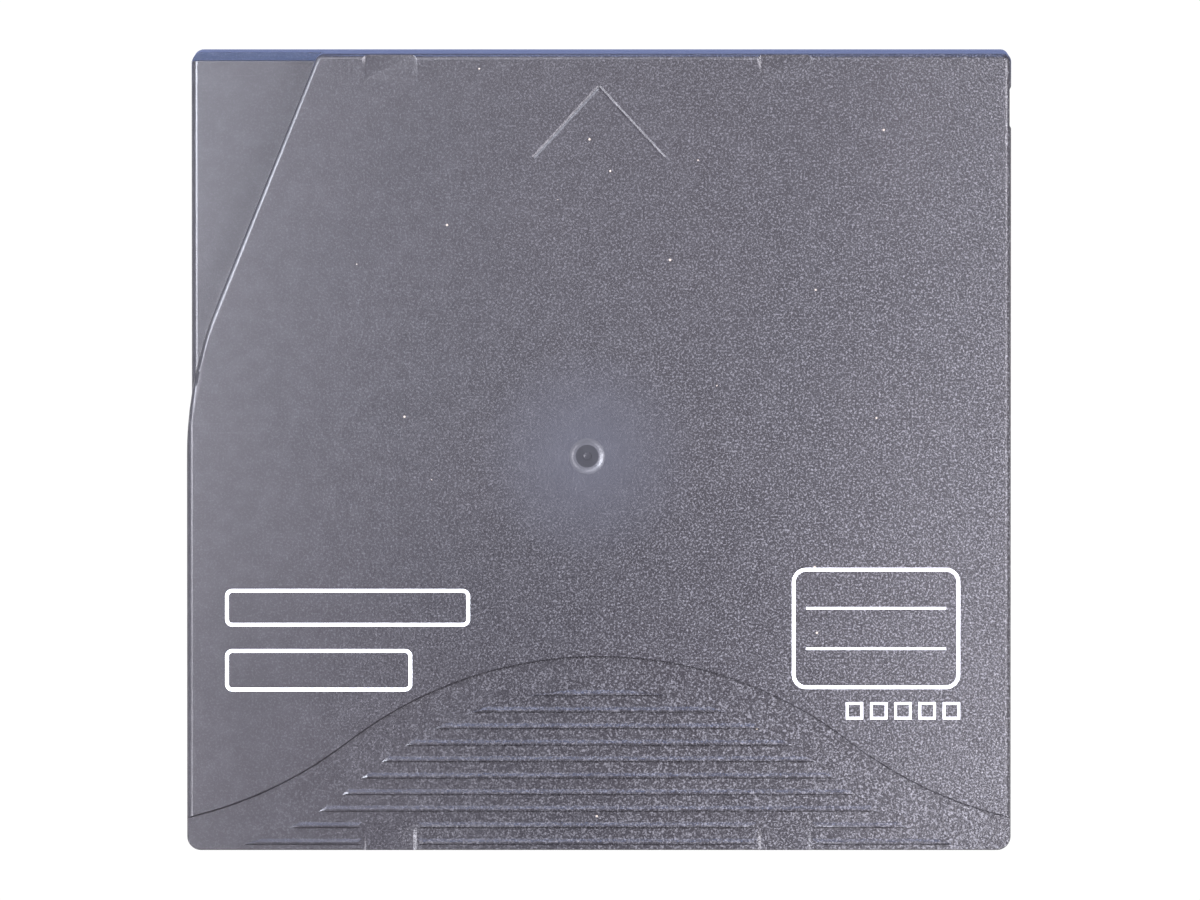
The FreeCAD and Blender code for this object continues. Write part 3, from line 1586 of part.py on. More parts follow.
inner_wall = "-half_length + side_wall"
tab_left = "protect_left + protect_gap"
tab_right = "protect_left + protect_width - protect_travel - protect_gap"
plate = box(
    "slider_plate",
    ("protect_left - protect_overlap", "protect_left + protect_width + protect_overlap"),
    (inner_wall + " + protect_gap", inner_wall + " + protect_gap + protect_plate"),
    ("bottom_wall", "protect_low + protect_height + protect_overlap"),
)
tab = box(
    "slider_tab",
    (tab_left, tab_right),
    ("-half_length + label_depth + protect_ridge", inner_wall + " + protect_gap + 0.1"),
    ("protect_low + protect_gap", "protect_low + protect_height - protect_gap"),
)
ridge_width = f"({tab_right} - ({tab_left})) / 7"
ridges = [
    box(
        f"slider_ridge_{index}",
        (f"{tab_left} + {index} * {ridge_width}", f"{tab_left} + {index + 1} * {ridge_width}"),
        ("-half_length + label_depth", "-half_length + label_depth + protect_ridge + 0.1"),
        ("protect_low + protect_gap", "protect_low + protect_height - protect_gap"),
    )
    for index in (1, 3, 5)
]
write_protect = fuse("write_protect_solid", plate, tab, *ridges)
write_protect.Label = "write_protect_slider"

# Memory board at 45 degrees, and its chip


def tilted_block(width, length, thickness, lift, across):
    """A flat block lying on the board's brackets: length runs up the slope."""
    block = Part.makeBox(width, length, thickness, point(-width / 2, across, lift))
    block.rotate(point(0, 0, 0), point(1, 0, 0), 135)
    front = -size("half_length") + size("board_front")
    block.translate(point(size("board_x"), front, size("bottom_wall")))
    return block


side, thickness = size("board_side"), size("board_thickness")
memory_board = shaped("memory_board_solid", tilted_block(side, side, thickness, -thickness, 0))
memory_board.Label = "memory_board"
chip_side = size("chip_side")
chip_thickness = size("chip_thickness")
memory_chip = shaped(
    "memory_chip_solid",
    tilted_block(chip_side, chip_side, chip_thickness, -thickness - chip_thickness, (side - chip_side) / 2),
)
memory_chip.Label = "memory_chip"

nodes = [
    upper_shell,
    lower_shell,
    *screws,
    reel_hub,
    upper_flange,
    tape_pack,
    clutch_plate,
    release_pad,
    brake_button,
    brake_spring,
    sliding_door,
    door_spring,
    leader_pin,
    pin_clip,
    leader_tape,
    lower_holder,
    upper_holder,
    write_protect,
    memory_board,
    memory_chip,
]

doc.recompute()
for part in doc.Objects:
    if "Invalid" in part.State or "Error" in part.State:
        raise RuntimeError(f"{part.Label} failed: {part.State}")
for node in nodes:
    if node.Shape.isNull() or not node.Shape.isValid():
        raise RuntimeError(f"{node.Label} has no sound shape")
os.makedirs("parts", exist_ok=True)
for node in nodes:
    node.Shape.exportStep(f"parts/{node.Label}.step")
    print(node.Label, len(node.Shape.Solids), round(node.Shape.Volume, 2))
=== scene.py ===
import bpy
import json
import math
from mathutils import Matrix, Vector


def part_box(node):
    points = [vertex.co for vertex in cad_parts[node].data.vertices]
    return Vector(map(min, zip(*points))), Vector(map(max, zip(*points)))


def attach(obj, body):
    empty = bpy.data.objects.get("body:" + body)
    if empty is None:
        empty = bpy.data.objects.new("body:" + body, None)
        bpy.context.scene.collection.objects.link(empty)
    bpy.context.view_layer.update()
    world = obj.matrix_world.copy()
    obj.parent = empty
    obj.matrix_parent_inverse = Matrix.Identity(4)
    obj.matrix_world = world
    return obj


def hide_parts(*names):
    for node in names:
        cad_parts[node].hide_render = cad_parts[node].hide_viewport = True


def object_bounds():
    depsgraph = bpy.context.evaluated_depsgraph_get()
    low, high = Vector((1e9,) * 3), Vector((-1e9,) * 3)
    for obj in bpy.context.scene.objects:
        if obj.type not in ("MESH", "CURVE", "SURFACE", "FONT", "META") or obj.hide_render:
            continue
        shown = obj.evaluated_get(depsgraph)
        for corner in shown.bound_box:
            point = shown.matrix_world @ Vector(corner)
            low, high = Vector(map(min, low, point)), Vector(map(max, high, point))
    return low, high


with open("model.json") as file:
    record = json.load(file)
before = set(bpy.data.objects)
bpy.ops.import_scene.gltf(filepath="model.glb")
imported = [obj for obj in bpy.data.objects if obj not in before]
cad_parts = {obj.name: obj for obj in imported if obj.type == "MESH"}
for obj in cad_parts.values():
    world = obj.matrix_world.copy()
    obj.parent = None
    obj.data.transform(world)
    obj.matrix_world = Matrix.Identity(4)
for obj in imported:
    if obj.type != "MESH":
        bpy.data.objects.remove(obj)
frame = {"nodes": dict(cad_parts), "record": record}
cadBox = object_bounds()
nodes = frame["nodes"]
print("frame loaded with", len(nodes), "nodes")

# the hub turns about this line, and the moulding gate sits over it
hubLow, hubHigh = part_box("reel_hub")
reelAxis = (hubLow + hubHigh) / 2
caseLow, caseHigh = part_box("upper_shell")
topFace = caseHigh.z


def mm(value):
    return value / 1000.0


def deselectAll():
    if bpy.context.object and bpy.context.object.mode != "OBJECT":
        bpy.ops.object.mode_set(mode="OBJECT")
    bpy.ops.object.select_all(action="DESELECT")


def makeActive(obj):
    deselectAll()
    obj.select_set(True)
    bpy.context.view_layer.objects.active = obj


def editAll(obj):
    makeActive(obj)
    bpy.ops.object.mode_set(mode="EDIT")
    bpy.ops.mesh.select_all(action="SELECT")


def leaveEdit():
    bpy.ops.object.mode_set(mode="OBJECT")


# node tree helpers: a socket is linked, anything else is set as the socket's value
def addNode(tree, kind, sockets=None, **settings):
    node = tree.nodes.new(kind)
    for name, value in settings.items():
        setattr(node, name, value)
    for name, value in (sockets or {}).items():
        if isinstance(value, bpy.types.NodeSocket):
            tree.links.new(value, node.inputs[name])
        else:
            node.inputs[name].default_value = value
    return node


def startGroup(name, inputs, outputs):
    tree = bpy.data.node_groups.new(name, "ShaderNodeTree")
    for title, value in inputs.items():
        socket = tree.interface.new_socket(title, in_out="INPUT", socket_type="NodeSocketFloat")
        socket.default_value = value
    for title in outputs:
        tree.interface.new_socket(title, in_out="OUTPUT", socket_type="NodeSocketFloat")
    given = tree.nodes.new("NodeGroupInput")
    result = tree.nodes.new("NodeGroupOutput")
    place = addNode(tree, "ShaderNodeTexCoord").outputs["Object"]
    return tree, given, result, place


def useGroup(tree, group, **values):
    node = tree.nodes.new("ShaderNodeGroup")
    node.node_tree = group
    for name, value in values.items():
        node.inputs[name[0].upper() + name[1:]].default_value = value
    return node


def calculate(tree, operation, first, second=0.0):
    return addNode(tree, "ShaderNodeMath", {0: first, 1: second}, operation=operation).outputs[0]


def spread(tree, value, low, high, toLow=0.0, toHigh=1.0):
    ports = {"Value": value, "From Min": low, "From Max": high, "To Min": toLow, "To Max": toHigh}
    return addNode(tree, "ShaderNodeMapRange", ports).outputs["Result"]


def mixColour(tree, mask, first, second):
    ports = {"Factor": mask, 6: first, 7: second}
    return addNode(tree, "ShaderNodeMix", ports, data_type="RGBA").outputs[2]


grainForm = {
    "detail": 2.0,
    "roughness": 0.62,
    "pitScale": 1.3,
    "pitShare": 0.25,
    "glintScale": 1.45,
    "glintDetail": 1.5,
    "glintWarp": 0.6,
    "glintRange": (0.50, 0.68),
}


# spark-eroded mould texture: noise with finer pitting on it, and painted glints, lighter patches placed where it
# would catch the light, standing in for highlights
def makeGrainAndGlint():
    tree, given, result, place = startGroup("grainAndGlint", {"Scale": 4000.0}, ["Height", "PaintedGlint"])
    scale = given.outputs["Scale"]
    ports = {"Vector": place, "Scale": scale, "Detail": grainForm["detail"], "Roughness": grainForm["roughness"]}
    coarse = addNode(tree, "ShaderNodeTexNoise", ports)
    closer = calculate(tree, "MULTIPLY", scale, grainForm["pitScale"])
    cells = addNode(tree, "ShaderNodeTexVoronoi", {"Vector": place, "Scale": closer})
    pits = calculate(tree, "MULTIPLY", cells.outputs["Distance"], grainForm["pitShare"])
    height = calculate(tree, "ADD", coarse.outputs["Fac"], pits)
    tree.links.new(height, result.inputs["Height"])
    # painted glints: thresholded noise that marks lighter patches standing in for highlights
    finer = calculate(tree, "MULTIPLY", scale, grainForm["glintScale"])
    detail, warp = grainForm["glintDetail"], grainForm["glintWarp"]
    ports = {"Vector": place, "Scale": finer, "Detail": detail, "Distortion": warp}
    patches = addNode(tree, "ShaderNodeTexNoise", ports)
    tree.links.new(spread(tree, patches.outputs["Fac"], *grainForm["glintRange"]), result.inputs["PaintedGlint"])
    return tree


# slow cloudy change of tone over a few centimetres
def makeToneDrift():
    tree, given, result, place = startGroup("toneDrift", {"Scale": 30.0}, ["Tone"])
    cloud = addNode(tree, "ShaderNodeTexNoise", {"Vector": place, "Scale": given.outputs["Scale"], "Detail": 3.0})
    tree.links.new(spread(tree, cloud.outputs["Fac"], 0.3, 0.7), result.inputs["Tone"])
    return tree


# sparse specks of lint and dust
def makeDustSpecks():
    tree, given, result, place = startGroup("dustSpecks", {"Scale": 160.0, "Size": 0.05, "Share": 0.2}, ["Dust"])
    cells = addNode(tree, "ShaderNodeTexVoronoi", {"Vector": place, "Scale": given.outputs["Scale"]})
    small = calculate(tree, "LESS_THAN", cells.outputs["Distance"], given.outputs["Size"])
    chance = addNode(tree, "ShaderNodeSeparateColor", {"Color": cells.outputs["Color"]}).outputs["Green"]
    some = calculate(tree, "LESS_THAN", chance, given.outputs["Share"])
    tree.links.new(calculate(tree, "MULTIPLY", small, some), result.inputs["Dust"])
    return tree


# hairline scuffs along one direction
def makeHairScratches():
    tree, given, result, place = startGroup("hairScratches", {"Turn": 0.6, "Share": 0.5}, ["Scratch"])
    turn = addNode(tree, "ShaderNodeCombineXYZ", {"Z": given.outputs["Turn"]})
    ports = {"Vector": place, "Rotation": turn.outputs[0], "Scale": (60.0, 5200.0, 60.0)}
    turned = addNode(tree, "ShaderNodeMapping", ports)
    streaks = addNode(tree, "ShaderNodeTexNoise", {"Vector": turned.outputs[0], "Scale": 1.0, "Detail": 1.0})
    patches = addNode(tree, "ShaderNodeTexNoise", {"Vector": place, "Scale": 90.0, "Detail": 1.0})
    thin = spread(tree, streaks.outputs["Fac"], 0.71, 0.76)
    where = calculate(tree, "LESS_THAN", patches.outputs["Fac"], given.outputs["Share"])
    tree.links.new(calculate(tree, "MULTIPLY", thin, where), result.inputs["Scratch"])
    return tree


# broken patches where handling has worn the surface
def makeHandlingWear():
    tree, given, result, place = startGroup("handlingWear", {"Amount": 1.0}, ["Wear"])
    broken = addNode(tree, "ShaderNodeTexNoise", {"Vector": place, "Scale": 500.0, "Detail": 3.0})
    worn = spread(tree, broken.outputs["Fac"], 0.42, 0.68)
    tree.links.new(calculate(tree, "MULTIPLY", worn, given.outputs["Amount"]), result.inputs["Wear"])
    return tree


grainAndGlint = makeGrainAndGlint()
toneDrift = makeToneDrift()
dustSpecks = makeDustSpecks()
hairScratches = makeHairScratches()
handlingWear = makeHandlingWear()


def startMaterial(name, roughness, metallic=0.0):
    material = bpy.data.materials.new(name)
    material.use_nodes = True
    tree = material.node_tree
    shader = tree.nodes["Principled BSDF"]
    shader.inputs["Roughness"].default_value = roughness
    shader.inputs["Metallic"].default_value = metallic
    return material, tree, shader


def bumped(tree, shader, height, depth):
    bump = addNode(tree, "ShaderNodeBump", {"Height": height, "Strength": 1.0, "Distance": depth})
    tree.links.new(bump.outputs["Normal"], shader.inputs["Normal"])


# the low parts of the grain are rougher than its tips
def roughFrom(tree, grain, roughness, change):
    return spread(tree, grain.outputs["Height"], 0.3, 1.1, roughness + change, roughness - change)


casePlastic = {
    "colour": (0.018, 0.017, 0.020, 1),
    "warmer": (0.023, 0.021, 0.024, 1),
    # painted glints: a lighter colour that stands in for highlights on the grain
    "paintedGlint": (0.125, 0.122, 0.132, 1),
    "worn": (0.11, 0.11, 0.12, 1),
    "wornShare": 0.5,
    "plainWear": 0.06,
    "wornShine": 0.12,
    "scuffShare": 0.12,
    "scuffTurn": 0.7,
    "scuffPatches": 0.42,
    "driftScale": 28.0,
    "dust": (0.30, 0.26, 0.22, 1),
    "dustScale": 250.0,
    "dustSize": 0.038,
    "dustShare": 0.35,
    "roughness": 0.31,
    "roughSpread": 0.05,
    "grainScale": 2950.0,
    "grainDepth": mm(0.085),
    "grainGlintAcross": (mm(-46.0), mm(40.0)),
    "grainGlintAcrossShare": (0.14, 1.25),
    "grainGlintAlong": (mm(43.0), mm(-40.0)),
    "grainGlintAlongShare": (0.55, 1.0),
    "plainShare": 0.25,
    "wallBelow": mm(4.0),
    "faceBelow": mm(2.8),
    "blush": (0.040, 0.040, 0.048, 1),
    "blushRadius": mm(14.0),
    "blushCore": mm(3.0),
    "handled": (0.0, mm(-40.0), 0.0),
    "handledSpan": (mm(10.0), mm(52.0)),
    "handledShine": (-0.055, 0.020),
    # painted sheen on the gate's cone wall, and painted dark reflection on its floor
    "paintedGateSheen": (0.055, 0.055, 0.062, 1),
    "paintedDarkGateFloor": (0.022, 0.022, 0.026, 1),
    "gateRadii": (mm(1.45), mm(2.30)),
    "gateGrain": 0.15,
}


def makeCasePlastic(name, look, blush=False, worn=False):
    material, tree, shader = startMaterial(name, look["roughness"])
    grain = useGroup(tree, grainAndGlint, scale=look["grainScale"])
    drift = useGroup(tree, toneDrift, scale=look["driftScale"])
    dust = useGroup(tree, dustSpecks, scale=look["dustScale"], size=look["dustSize"], share=look["dustShare"])
    scuff = useGroup(tree, hairScratches, turn=look["scuffTurn"], share=look["scuffPatches"])
    wear = useGroup(tree, handlingWear, amount=look["wornShare"] if worn else look["plainWear"])
    colour = mixColour(tree, drift.outputs["Tone"], look["colour"], look["warmer"])
    if not blush:
        # the grain and its painted glints, lighter patches standing in for highlights, are kept at the plain share
        height = calculate(tree, "MULTIPLY", grain.outputs["Height"], look["plainShare"])
        paintedGlintShare = calculate(tree, "MULTIPLY", grain.outputs["PaintedGlint"], look["plainShare"])
        colour = mixColour(tree, paintedGlintShare, colour, look["paintedGlint"])
    else:
        # the grain's bump and its painted glints, lighter patches that stand in for highlights, are weaker at the
        # front left and stronger at the rear right
        place = addNode(tree, "ShaderNodeTexCoord").outputs["Object"]
        parts = addNode(tree, "ShaderNodeSeparateXYZ", {"Vector": place}).outputs
        across = spread(tree, parts["X"], *look["grainGlintAcross"], *look["grainGlintAcrossShare"])
        along = spread(tree, parts["Y"], *look["grainGlintAlong"], *look["grainGlintAlongShare"])
        grainGlintShare = calculate(tree, "MULTIPLY", across, along)
        # the walls keep the plain texture of the lower shell
        onFace = spread(tree, parts["Z"], topFace - look["wallBelow"], topFace - look["faceBelow"])
        grainGlintShare = spread(tree, onFace, 0.0, 1.0, look["plainShare"], grainGlintShare)
        height = calculate(tree, "MULTIPLY", grain.outputs["Height"], grainGlintShare)
        # painted glints, lighter patches standing in for highlights, follow the same share
        paintedGlintShare = calculate(tree, "MULTIPLY", grain.outputs["PaintedGlint"], grainGlintShare)
        colour = mixColour(tree, paintedGlintShare, colour, look["paintedGlint"])
        # the resin flowed out from the gate here and stayed a little paler; the gate itself is smooth, its cone
        # wall painted paler as a painted sheen and its floor painted darker as a painted reflection of the dark
        # above it
        level = {0: place, 1: (1.0, 1.0, 0.0)}
        flat = addNode(tree, "ShaderNodeVectorMath", level, operation="MULTIPLY").outputs[0]
        axis = (reelAxis.x, reelAxis.y, 0.0)
        away = addNode(tree, "ShaderNodeVectorMath", {0: flat, 1: axis}, operation="DISTANCE").outputs["Value"]
        paler = spread(tree, away, look["blushRadius"], look["blushCore"])
        colour = mixColour(tree, paler, colour, look["blush"])
        floorEdge, mouth = look["gateRadii"]
        inGate = calculate(tree, "LESS_THAN", away, mouth)
        colour = mixColour(tree, inGate, colour, look["paintedGateSheen"])
        onFloor = calculate(tree, "LESS_THAN", away, floorEdge)
        colour = mixColour(tree, onFloor, colour, look["paintedDarkGateFloor"])
        smoother = spread(tree, inGate, 0.0, 1.0, 1.0, look["gateGrain"])
        height = calculate(tree, "MULTIPLY", height, smoother)
    scuffed = calculate(tree, "MULTIPLY", scuff.outputs["Scratch"], look["scuffShare"])
    colour = mixColour(tree, scuffed, colour, look["worn"])
    colour = mixColour(tree, wear.outputs["Wear"], colour, look["worn"])
    colour = mixColour(tree, dust.outputs["Dust"], colour, look["dust"])
    tree.links.new(colour, shader.inputs["Base Color"])
    rough = roughFrom(tree, grain, look["roughness"], look["roughSpread"])
    if blush:
        # hands have polished the grip, and the shine fades away from it
        grip = {0: flat, 1: look["handled"]}
        reach = addNode(tree, "ShaderNodeVectorMath", grip, operation="DISTANCE").outputs["Value"]
        rough = calculate(tree, "ADD", rough, spread(tree, reach, *look["handledSpan"], *look["handledShine"]))
    shine = calculate(tree, "MULTIPLY", wear.outputs["Wear"], look["wornShine"])
    tree.links.new(calculate(tree, "SUBTRACT", rough, shine), shader.inputs["Roughness"])
    bumped(tree, shader, height, look["grainDepth"])
    return material


plainPlastics = {
    "reel_plastic": {
        "colour": (0.60, 0.61, 0.62, 1),
        "shade": (0.52, 0.53, 0.55, 1),
        "roughness": 0.38,
        "grain": 1800.0,
        "depth": mm(0.006),
        "subsurface": 0.06,
    },
    "brake_plastic": {
        "colour": (0.80, 0.79, 0.74, 1),
        "shade": (0.72, 0.71, 0.66, 1),
        "roughness": 0.42,
        "grain": 2200.0,
        "depth": mm(0.006),
        "subsurface": 0.1,
    },
    "clip_plastic": {
        "colour": (0.70, 0.69, 0.64, 1),
        "shade": (0.62, 0.61, 0.56, 1),
        "roughness": 0.40,
        "grain": 2600.0,
        "depth": mm(0.005),
        "subsurface": 0.1,
    },
    "slider_plastic": {
        "colour": (0.52, 0.10, 0.05, 1),
        "shade": (0.42, 0.07, 0.04, 1),
        "roughness": 0.44,
        "grain": 3200.0,
        "depth": mm(0.010),
        "subsurface": 0.03,
    },
    "chip_resin": {
        "colour": (0.030, 0.030, 0.033, 1),
        "shade": (0.045, 0.045, 0.047, 1),
        "roughness": 0.55,
        "grain": 6000.0,
        "depth": mm(0.008),
        "subsurface": 0.0,
    },
}


def makePlainPlastic(name, look):
    material, tree, shader = startMaterial(name, look["roughness"])
    grain = useGroup(tree, grainAndGlint, scale=look["grain"])
    drift = useGroup(tree, toneDrift, scale=60.0)
    scuff = useGroup(tree, hairScratches, turn=1.9, share=0.40)
    wear = useGroup(tree, handlingWear, amount=0.05)
    colour = mixColour(tree, drift.outputs["Tone"], look["colour"], look["shade"])
    pale = tuple(0.6 * part + 0.3 for part in look["colour"][:3]) + (1,)
    colour = mixColour(tree, wear.outputs["Wear"], colour, pale)
    colour = mixColour(tree, calculate(tree, "MULTIPLY", scuff.outputs["Scratch"], 0.2), colour, look["shade"])
    tree.links.new(colour, shader.inputs["Base Color"])
    tree.links.new(roughFrom(tree, grain, look["roughness"], 0.05), shader.inputs["Roughness"])
    shader.inputs["Subsurface Weight"].default_value = look["subsurface"]
    shader.inputs["Subsurface Scale"].default_value = mm(0.8)
    bumped(tree, shader, grain.outputs["Height"], look["depth"])
    return material


metals = {
    "screw_steel": {
        "colour": (0.20, 0.20, 0.21, 1),
        "shade": (0.10, 0.10, 0.11, 1),
        "roughness": 0.38,
        "along": (900.0, 900.0, 120.0),
        "depth": mm(0.004),
    },
    "clutch_steel": {
        "colour": (0.60, 0.60, 0.60, 1),
        "shade": (0.46, 0.46, 0.47, 1),
        "roughness": 0.34,
        "along": (140.0, 6500.0, 140.0),
        "depth": mm(0.004),
    },
    "spring_steel": {
        "colour": (0.56, 0.56, 0.57, 1),
        "shade": (0.38, 0.38, 0.40, 1),
        "roughness": 0.26,
        "along": (3000.0, 3000.0, 900.0),
        "depth": mm(0.002),
    },
    "pin_steel": {
        "colour": (0.72, 0.72, 0.73, 1),
        "shade": (0.62, 0.62, 0.64, 1),
        "roughness": 0.16,
        "along": (160.0, 160.0, 7000.0),
        "depth": mm(0.001),
    },
}


def makeMetal(name, look):
    material, tree, shader = startMaterial(name, look["roughness"], metallic=1.0)
    place = addNode(tree, "ShaderNodeTexCoord").outputs["Object"]
    stretched = addNode(tree, "ShaderNodeMapping", {"Vector": place, "Scale": look["along"]})
    lines = addNode(tree, "ShaderNodeTexNoise", {"Vector": stretched.outputs[0], "Scale": 1.0, "Detail": 3.0})
    drift = useGroup(tree, toneDrift, scale=140.0)
    scuff = useGroup(tree, hairScratches, turn=0.3, share=0.5)
    mask = calculate(tree, "MULTIPLY", drift.outputs["Tone"], spread(tree, lines.outputs["Fac"], 0.3, 0.7))
    tree.links.new(mixColour(tree, mask, look["colour"], look["shade"]), shader.inputs["Base Color"])
    rough = spread(tree, lines.outputs["Fac"], 0.3, 0.7, look["roughness"] - 0.05, look["roughness"] + 0.08)
    rougher = calculate(tree, "MULTIPLY", scuff.outputs["Scratch"], 0.15)
    tree.links.new(calculate(tree, "ADD", rough, rougher), shader.inputs["Roughness"])
    bumped(tree, shader, lines.outputs["Fac"], look["depth"])
    return material


recordingTape = {
    "colour": (0.020, 0.017, 0.016, 1),
    "shade": (0.034, 0.028, 0.026, 1),
    "roughness": 0.24,
    "layerScale": 5200.0,
    "layerDepth": mm(0.006),
}


# the wound edge shows fine rings about the reel axis, and the free tape stays smooth
def makeTape(name, look, wound):
    material, tree, shader = startMaterial(name, look["roughness"])
    place = addNode(tree, "ShaderNodeTexCoord").outputs["Object"]
    flat = addNode(tree, "ShaderNodeVectorMath", {0: place, 1: (reelAxis.x, reelAxis.y, 0.0)}, operation="SUBTRACT")
    parts = addNode(tree, "ShaderNodeSeparateXYZ", {"Vector": flat.outputs[0]})
    squares = [calculate(tree, "POWER", parts.outputs[axis], 2.0) for axis in ("X", "Y")]
    radius = calculate(tree, "SQRT", calculate(tree, "ADD", *squares))
    across = radius if wound else parts.outputs["Z"]
    ports = {"W": calculate(tree, "MULTIPLY", across, look["layerScale"]), "Scale": 1.0, "Detail": 2.0}
    rings = addNode(tree, "ShaderNodeTexNoise", ports, noise_dimensions="1D")
    drift = useGroup(tree, toneDrift, scale=70.0)
    mask = calculate(tree, "MULTIPLY", rings.outputs["Fac"], drift.outputs["Tone"])
    tree.links.new(mixColour(tree, mask, look["colour"], look["shade"]), shader.inputs["Base Color"])
    rough = spread(tree, rings.outputs["Fac"], 0.3, 0.7, look["roughness"] - 0.06, look["roughness"] + 0.08)
    tree.links.new(rough, shader.inputs["Roughness"])
    bumped(tree, shader, rings.outputs["Fac"], look["layerDepth"] if wound else look["layerDepth"] / 8)
    return material


boardLaminate = {
    "resist": (0.020, 0.115, 0.045, 1),
    "over": (0.030, 0.170, 0.070, 1),
    "copper": (0.055, 0.24, 0.09, 1),
    "roughness": 0.32,
    "traceScale": 900.0,
    "coilInside": mm(2.4),
}


# coil of the memory antenna shows as squares of raised copper under the green resist
def makeBoard(name, look):
    material, tree, shader = startMaterial(name, look["roughness"])
    place = addNode(tree, "ShaderNodeTexCoord").outputs["Object"]
    low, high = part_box("memory_board")
    middle = (low + high) / 2
    centred = addNode(tree, "ShaderNodeVectorMath", {0: place, 1: tuple(middle)}, operation="SUBTRACT")
    ports = {"Vector": centred.outputs[0], "Rotation": (math.radians(45), 0, 0)}
    turned = addNode(tree, "ShaderNodeMapping", ports)
    parts = addNode(tree, "ShaderNodeSeparateXYZ", {"Vector": turned.outputs[0]})
    sides = [calculate(tree, "ABSOLUTE", parts.outputs[axis]) for axis in ("X", "Y")]
    ring = calculate(tree, "MAXIMUM", *sides)
    wave = calculate(tree, "SINE", calculate(tree, "MULTIPLY", ring, look["traceScale"] * 2 * math.pi))
    onTrace = calculate(tree, "GREATER_THAN", wave, 0.1)
    outside = calculate(tree, "GREATER_THAN", ring, look["coilInside"])
    coil = calculate(tree, "MULTIPLY", onTrace, outside)
    drift = useGroup(tree, toneDrift, scale=300.0)
    colour = mixColour(tree, drift.outputs["Tone"], look["resist"], look["over"])
    tree.links.new(mixColour(tree, coil, colour, look["copper"]), shader.inputs["Base Color"])
    bumped(tree, shader, coil, mm(0.02))
    return material


whiteInk = {
    "colour": (0.90, 0.91, 0.93, 1),
    "thin": (0.66, 0.67, 0.70, 1),
    "roughness": 0.42,
}


# screen-printed ink: nearly solid, a little thinner over the tips of the grain
def makeInk(name, look):
    material, tree, shader = startMaterial(name, look["roughness"])
    grain = useGroup(tree, grainAndGlint, scale=casePlastic["grainScale"])
    colour = mixColour(tree, spread(tree, grain.outputs["Height"], 0.95, 1.15), look["colour"], look["thin"])
    tree.links.new(colour, shader.inputs["Base Color"])
    tree.links.new(roughFrom(tree, grain, look["roughness"], 0.06), shader.inputs["Roughness"])
    bumped(tree, shader, grain.outputs["Height"], mm(0.008))
    return material


shellTop = makeCasePlastic("shellTop", casePlastic, blush=True)
shellPlain = makeCasePlastic("shellPlain", casePlastic)
shellCorner = makeCasePlastic("shellCorner", casePlastic, worn=True)
finishes = {name: makePlainPlastic(name, look) for name, look in plainPlastics.items()}
finishes.update({name: makeMetal(name, look) for name, look in metals.items()})
finishes["case_plastic"] = shellPlain
finishes["recording_tape"] = makeTape("freeTape", recordingTape, wound=False)
finishes["board_laminate"] = makeBoard("boardLaminate", boardLaminate)
inkFinish = makeInk("whiteInk", whiteInk)

for part in frame["record"]["subparts"]:
    obj = nodes[part["node"]]
    obj.data.materials.clear()
    obj.data.materials.append(finishes[part["material_slot"]])
nodes["tape_pack"].data.materials[0] = makeTape("woundTape", recordingTape, wound=True)
print("materials made")


# the two shells get a fine round on every moulded corner
shellFinish = {"weld": mm(0.002), "flatAngle": 0.6, "cornerAngle": 28.0, "round": mm(0.05), "segments": 2}


def roundedShell(nodeName, pieceName, finish, look):
    piece = bpy.data.objects.new(pieceName, nodes[nodeName].data.copy())
    bpy.context.collection.objects.link(piece)
    piece.data.materials.clear()
    piece.data.materials.append(finish)
    piece.data.materials.append(shellCorner)
    editAll(piece)
    bpy.ops.mesh.remove_doubles(threshold=look["weld"])
    bpy.ops.mesh.dissolve_limited(angle_limit=math.radians(look["flatAngle"]))
    leaveEdit()
    bevel = piece.modifiers.new("cornerRound", "BEVEL")
    bevel.width = look["round"]
    bevel.segments = look["segments"]
    bevel.limit_method = "ANGLE"
    bevel.angle_limit = math.radians(look["cornerAngle"])
    bevel.use_clamp_overlap = True
    bevel.material = 1
    bpy.ops.object.modifier_apply(modifier=bevel.name)
    bpy.ops.object.shade_smooth_by_angle(angle=math.radians(30))
    level = piece.modifiers.new("evenNormals", "WEIGHTED_NORMAL")
    level.keep_sharp = True
    level.weight = 100
    bpy.ops.object.modifier_apply(modifier=level.name)
    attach(piece, "case")
    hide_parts(nodeName)
    return piece


upperShell = roundedShell("upper_shell", "shell_upper", shellTop, shellFinish)
lowerShell = roundedShell("lower_shell", "shell_lower", shellPlain, shellFinish)
print("shells:", len(upperShell.data.polygons), len(lowerShell.data.polygons), "faces")


# generic write-on fields in white ink on the top face
inkPrint = {
    "thickness": mm(0.012),
    "sunk": mm(0.004),
    "line": mm(0.45),
    "corner": mm(0.9),
    "nameField": (mm(-47.8), mm(-16.5), mm(-22.3), mm(-17.5)),
    "barField": (mm(-47.8), mm(-23.9), mm(-30.6), mm(-25.2)),
    "noteField": (mm(24.7), mm(46.2), mm(-30.3), mm(-14.8)),
    "noteRules": 2,
    "ruleMargin": mm(1.8),
    "boxSide": mm(2.2),
    "boxPitch": mm(3.1),
    "boxRow": mm(-33.1),
    "boxCount": 5,
}


